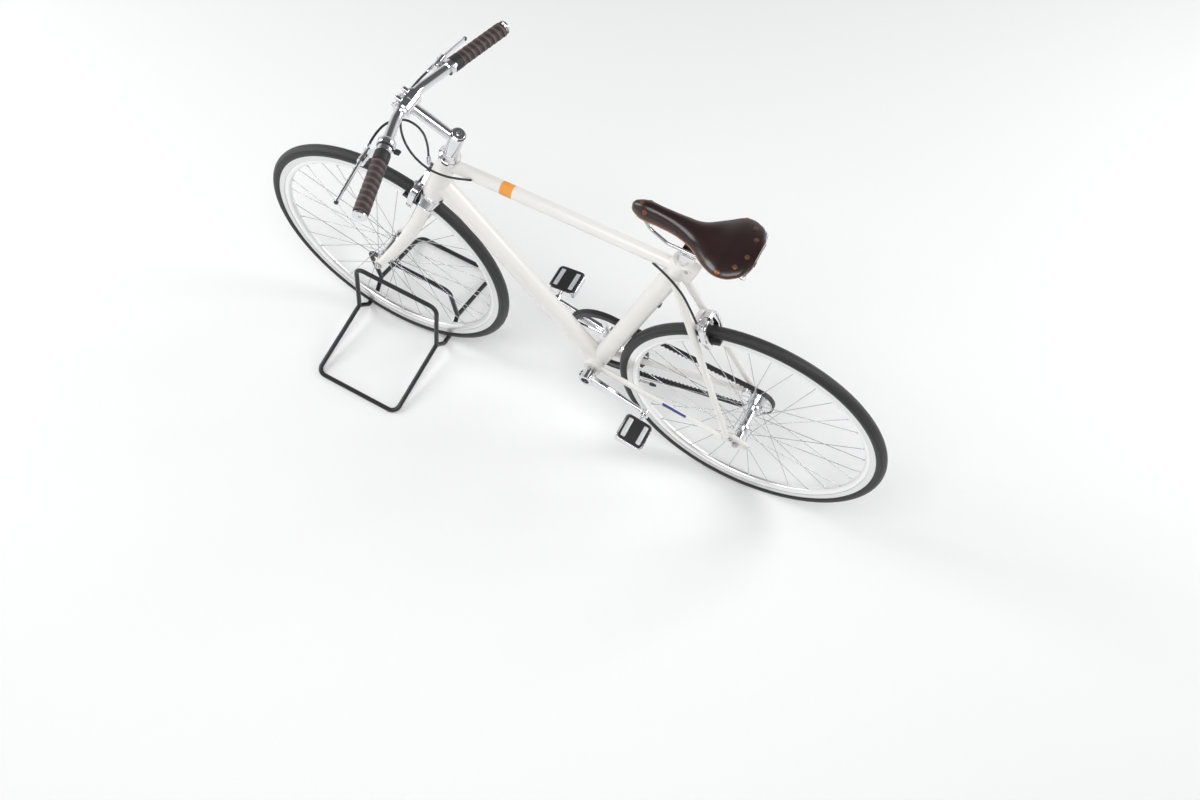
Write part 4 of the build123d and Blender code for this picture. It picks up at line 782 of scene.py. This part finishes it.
# ---------------------------------------------------------------- saddle
# Thick vegetable-tanned leather, stretched between the nose and the cantle plate, dyed dark
# brown and waxed. The cut edge stays tan, and copper rivets hold the skin to the plates.
# All in millimetres: stations along x, and the skin's half width, its edge's z and its crown's z there.
stations = np.array([-396, -386, -370, -343, -308, -272, -235, -195, -150, -133])
half_widths = np.array([34, 56, 70, 76, 59, 33, 23, 19.5, 17, 9])
skirts = np.array([952, 950, 946, 941, 930, 928, 931, 930, 930, 933])
crowns = np.array([965, 965, 963, 958, 950, 950, 956, 959, 957, 949])
side_power, rise_power = 0.88, 0.86
nose_start, nose_length = -138, 7.5


def through(at, values):
    """Smooth curve through the station values: cubic pieces with slopes taken from their neighbours."""
    slopes = np.gradient(values.astype(float), stations)
    k = np.clip(np.searchsorted(stations, at) - 1, 0, len(stations) - 2)
    gap = (stations[k + 1] - stations[k]).astype(float)
    t = (at - stations[k]) / gap
    return ((2 * t ** 3 - 3 * t ** 2 + 1) * values[k] + (t ** 3 - 2 * t ** 2 + t) * gap * slopes[k]
            + (3 * t ** 2 - 2 * t ** 3) * values[k + 1] + (t ** 3 - t ** 2) * gap * slopes[k + 1])


def skin_point(x, u, depth):
    """Point of the saddle's skin: u runs from the left edge (0) over the crown to the right edge (pi).

    y = (w - depth) * cos u * |cos u| ** -0.12,  z = skirt + (h - depth) * sin u ** 0.86
    w, skirt and h follow the stations along x; w and h close in an arc at the tip of the nose.
    """
    arc = np.sqrt(np.clip(1 - np.clip((x - nose_start) / nose_length, 0, 1) ** 2, 0.02, 1))
    width = through(x, half_widths) * np.where(x > nose_start, arc, 1)
    skirt = through(x, skirts)
    height = (through(x, crowns) - skirt) * np.where(x > nose_start, 0.35 + 0.65 * arc, 1)
    c, s = np.cos(u), np.sin(u)
    y = np.maximum(width - depth, 0.5) * np.sign(c) * np.abs(c) ** side_power
    z = skirt + np.maximum(height - depth, 1.5) * np.abs(s) ** rise_power
    return np.stack([x, y, z], -1) / 1000


def saddle_skin(material, edge, thickness=4.0):
    """The leather as a closed shell between skin_point at depth 0 and at its thickness in millimetres.

    x = start + length * (b + 0.08 * sin(tau * b) / tau) for b from 0 to 1, so rows crowd to both ends.
    """
    rows, columns, start, length = 150, 72, -396, 264.5
    size = 2 * columns
    b = np.linspace(0, 1, rows)
    x = start + length * (b + 0.08 * np.sin(tau * b) / tau)
    x_grid, u_grid = np.meshgrid(x, np.linspace(0, pi, columns), indexing="ij")
    outer, inner = skin_point(x_grid, u_grid, 0.0), skin_point(x_grid, u_grid, thickness)
    loops = np.concatenate([outer, inner[:, ::-1]], 1)
    sides = np.roll(ring_quads(np.arange(rows * size).reshape(rows, size)), -1, 1)
    i = np.arange(columns - 1)
    rear = np.stack([i, i + 1, size - 2 - i, size - 1 - i], -1)
    front = rear + (rows - 1) * size
    faces = np.concatenate([sides, rear[:, ::-1], front]).tolist()
    made = mesh_object("saddle_skin", loops, faces, material, "frame", 50)
    cut = np.isin(np.arange(size), (0, 1, columns - 3, columns - 2, columns - 1, size - 1))
    made.data.materials.append(edge)
    slots = np.concatenate([np.tile(cut, rows - 1), np.ones(2 * (columns - 1), dtype=bool)])
    made.data.polygons.foreach_set("material_index", slots.astype(int))
    rub = np.abs(np.cos(np.concatenate([u_grid, u_grid[:, ::-1]], 1))) ** 26
    return add_wear_and_highlight(made, rub.ravel())


saddle_leather = leather_material("saddle_leather", (0.0135, 0.0042, 0.0043), (0.06, 0.025, 0.02),
                                  (0.24, 0.38), scale=26, depth=0.00012, coat=0.3)
shader_of(saddle_leather).inputs["Coat Roughness"].default_value = 0.16
cut_edge = clouded_material("cut_edge", (0.48, 0.22, 0.09), (0.33, 0.14, 0.055), (0.5, 0.65),
                            scale=200, grain=1500, depth=0.0001)
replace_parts(saddle_skin(saddle_leather, cut_edge), "saddle_leather")
copper = clouded_material("copper_rivet", (0.30, 0.115, 0.055), (0.20, 0.075, 0.04), (0.3, 0.45),
                          scale=300, grain=1500, depth=0.00004, metallic=0.8)
aged_copper = clouded_material("aged_rivet", (0.19, 0.095, 0.05), (0.11, 0.052, 0.03), (0.35, 0.5),
                               scale=300, grain=1500, depth=0.00004, metallic=0.6)


def skin_spot(x, u):
    """One point of the saddle's outer skin, in metres."""
    return Vector(skin_point(np.array(x), np.array(u), 0.0))


rivet_profile = [(0, 0), (0, 5.2), (0.9, 5), (1.5, 3.4), (1.8, 0)]
flank_rivets = [(-163, 15.6), (-163, -15.6), (-341, 70), (-341, -70)]
plate_rivets = [(-150.7, 0), (-379, 22), (-379, -22), (-367, 50), (-367, -50)]
for k, (x, y) in enumerate(flank_rivets + plate_rivets):
    c = max(-1, min(1, y / through(float(x), half_widths)))
    u = np.arccos(np.sign(c) * abs(c) ** (1 / side_power))
    here = skin_spot(float(x), u)
    along, round_way = skin_spot(x + 1.0, u) - here, skin_spot(float(x), u + 0.01) - here
    outward = along.cross(round_way).normalized()
    outward = outward if outward.z > 0 else -outward
    metal = copper if k < len(flank_rivets) else aged_copper
    lathe(f"saddle_rivet_{k}", here - outward * 0.0006, outward, rivet_profile, metal, "frame", 36)
finish(steel, "saddle_rails")
finish(polished, "seatpost")

# ---------------------------------------------------------------- cantle plate and bag loops
# A pressed and plated steel strip follows the saddle's rear edge. Two slots in it and two wire
# loops under it take a saddle bag's straps; the slots are drawn as black blocks, painted shade.


def cantle_plate(thickness=1.8, foot=945, half_width=56, rows=41):
    """The strip as a closed band of four-cornered rings; all in millimetres.

    x = -398.5 + 10.5 * |v| ** 3.5,  y = half_width * v,  top z = 950.2 + 13.5 * cos(1.52 v) ** 2
    for v from -1 to 1, with z = foot all along the lower edge.
    """
    v = np.linspace(-1, 1, rows)[:, None]
    x = -398.5 + 10.5 * np.abs(v) ** 3.5 + np.array([0, 0, thickness, thickness])
    z = np.where([True, False, False, True], 950.2 + 13.5 * np.cos(1.52 * v) ** 2, foot)
    y = np.broadcast_to(half_width * v, x.shape)
    faces = capped_faces(np.arange(rows * 4).reshape(rows, 4), turned=True)
    return mesh_object("cantle_plate", np.stack([x, y, z], -1) / 1000, faces, polished, "frame")


cantle_plate()
loop_turns = np.linspace(-0.3, pi + 0.3, 15)
for side in (1, -1):
    # Painted shade: each slot is a black block standing in for the dark opening.
    brick("cantle_slot", (-0.3979, side * 0.0215, 0.9535), (0, 1, 0), (1, 0, 0), (13, 4.4, 1.6), 0.5,
          black_plastic, "frame")
    loop_seat = Vector((-0.384, side * 0.052, 0.9475))
    loop = [loop_seat + Vector((-0.010 * sin(a), side * 0.009 * cos(a), -0.004 * sin(a))) for a in loop_turns]
    tube("bag_loop", loop, 1.3, steel, "frame", 10)

# ---------------------------------------------------------------- frame fittings and labels
# A clamp bolt at the seat lug, a grommet behind the seat tube, tensioner blocks on the sliding
# dropouts, a woven band on the top tube and a blank foil label on the left chainstay.
seat_up = Vector((-0.275637, 0, 0.961262))
seat_forward = Vector((0.961262, 0, 0.275637))
clamp_seat = bracket + seat_up * 0.557 - seat_forward * 0.019
for side in (1, -1):
    seat = clamp_seat + Vector((0, side * 0.0152, 0))
    round_bolt("seat_clamp_bolt", seat, (0, side, 0), 4.2, 1.4, steel, "frame")
grommet_seat = bracket + seat_up * 0.3705 - seat_forward * 0.0255
grommet_profile = [(-1, 0), (-1, 7.2), (2.2, 7), (3.4, 5.4), (3.6, 0)]
lathe("seat_tube_grommet", grommet_seat, -seat_forward, grommet_profile, rubber, "frame", 32)
socket_shade_profile = [(0, 0), (0, 2.9), (0.8, 2.9), (0.8, 0)]
ribs_a_block, rib_pitch = 5, 0.0036
for side in (1, -1):
    outward = (0, side, 0)
    block_seat = (-0.4665, side * 0.0752, 0.3475)
    brick("dropout_block", block_seat, (1, 0, 0), outward, (19, 15, 2.6), 0.9, satin, "frame")
    for k in range(ribs_a_block):
        rib_seat = (-0.4593 - rib_pitch * k, side * 0.0768, 0.3475)
        brick("dropout_rib", rib_seat, (1, 0, 0), outward, (1.9, 14, 2.4), 0.7, polished, "frame")
    round_bolt("dropout_bolt", (-0.4805, side * 0.0745, 0.3505), outward, 5, 4.4, steel, "frame")
    # Painted shade: a black hexagon in each bolt's socket stands in for the dark inside the hole.
    socket_shade_seat = (-0.4805, side * 0.0762, 0.3505)
    lathe("dropout_socket_shade", socket_shade_seat, outward, socket_shade_profile, black_plastic, "frame", 6)
    screw_line = [(x, side * 0.071, 0.339) for x in (-0.529, -0.516, -0.512)]
    tube("tensioner_screw", screw_line, 2.4, steel, "frame")

orange_weave = clouded_material("orange_weave", (0.88, 0.39, 0.075), (0.76, 0.29, 0.045), (0.55, 0.7),
                                scale=500, grain=2500, depth=0.0002)
tube_way = Vector((-540.8, 0, 8)).normalized()
band_seat = Vector((0.1607, 0, 0.80118))
band_profile = [(0, 14.3), (0, 14.9), (28, 14.9), (28, 14.3)]
lathe("top_tube_band", band_seat, tube_way, band_profile, orange_weave, "frame", 72)
blue_foil = clouded_material("blue_foil", (0.02, 0.035, 0.16), (0.03, 0.06, 0.24), (0.25, 0.35),
                             scale=300, grain=900, depth=0.00001, coat=0.4)
stay_start, stay_end = Vector((-0.110, 0.025, 0.290)), Vector((-0.460, 0.071, 0.334))
stay_way = (stay_end - stay_start).normalized()
stay_side = (Vector((0, 1, 0)) - stay_way * stay_way.y).normalized()
stay_rise = stay_way.cross(stay_side)
stay_rise = stay_rise if stay_rise.z > 0 else -stay_rise


def stay_patch(name, shares, turns, lift, material):
    """A closed patch that hugs the left chainstay's oval section, raised off it by lift millimetres.

    P(s, a, d) = start + (end - start) * s + side * (6.5 - 0.5 s + d) * cos a + rise * (11 - 3 s + d) * sin a
    for depth d = lift over the patch's face, and then d = -sink back over its underside.
    """
    rows, columns, sink = 13, 9, 0.4
    s = np.linspace(*shares, rows)[:, None, None]
    a = np.linspace(*turns, columns)
    a = np.concatenate([a, a[::-1]])[:, None]
    d = np.repeat([lift, -sink], columns)[:, None]
    across = (6.5 - 0.5 * s + d) * np.cos(a) / 1000 * np.array(stay_side)
    upward = (11 - 3 * s + d) * np.sin(a) / 1000 * np.array(stay_rise)
    points = np.array(stay_start) + np.array(stay_end - stay_start) * s + across + upward
    rings = np.arange(rows * 2 * columns).reshape(rows, -1)
    mesh_object(name, points, capped_faces(rings, turned=True), material, "frame")


stay_patch("label_border", (0.53, 0.725), (0.12, 1.36), 0.25, satin)
stay_patch("label_field", (0.536, 0.719), (0.28, 1.2), 0.4, blue_foil)

# ---------------------------------------------------------------- floor stand
# Bent steel tube, joined by cross tubes and powder coated satin black; the coat has the fine
# ripple that fused powder leaves.
powder = clouded_material("powder_coat", (0.0075, 0.0075, 0.0085), (0.015, 0.015, 0.0165), (0.3, 0.42),
                          scale=30, grain=1100, depth=0.00006)
finish(powder, "stand_left", "stand_right", "stand_cross_tubes")
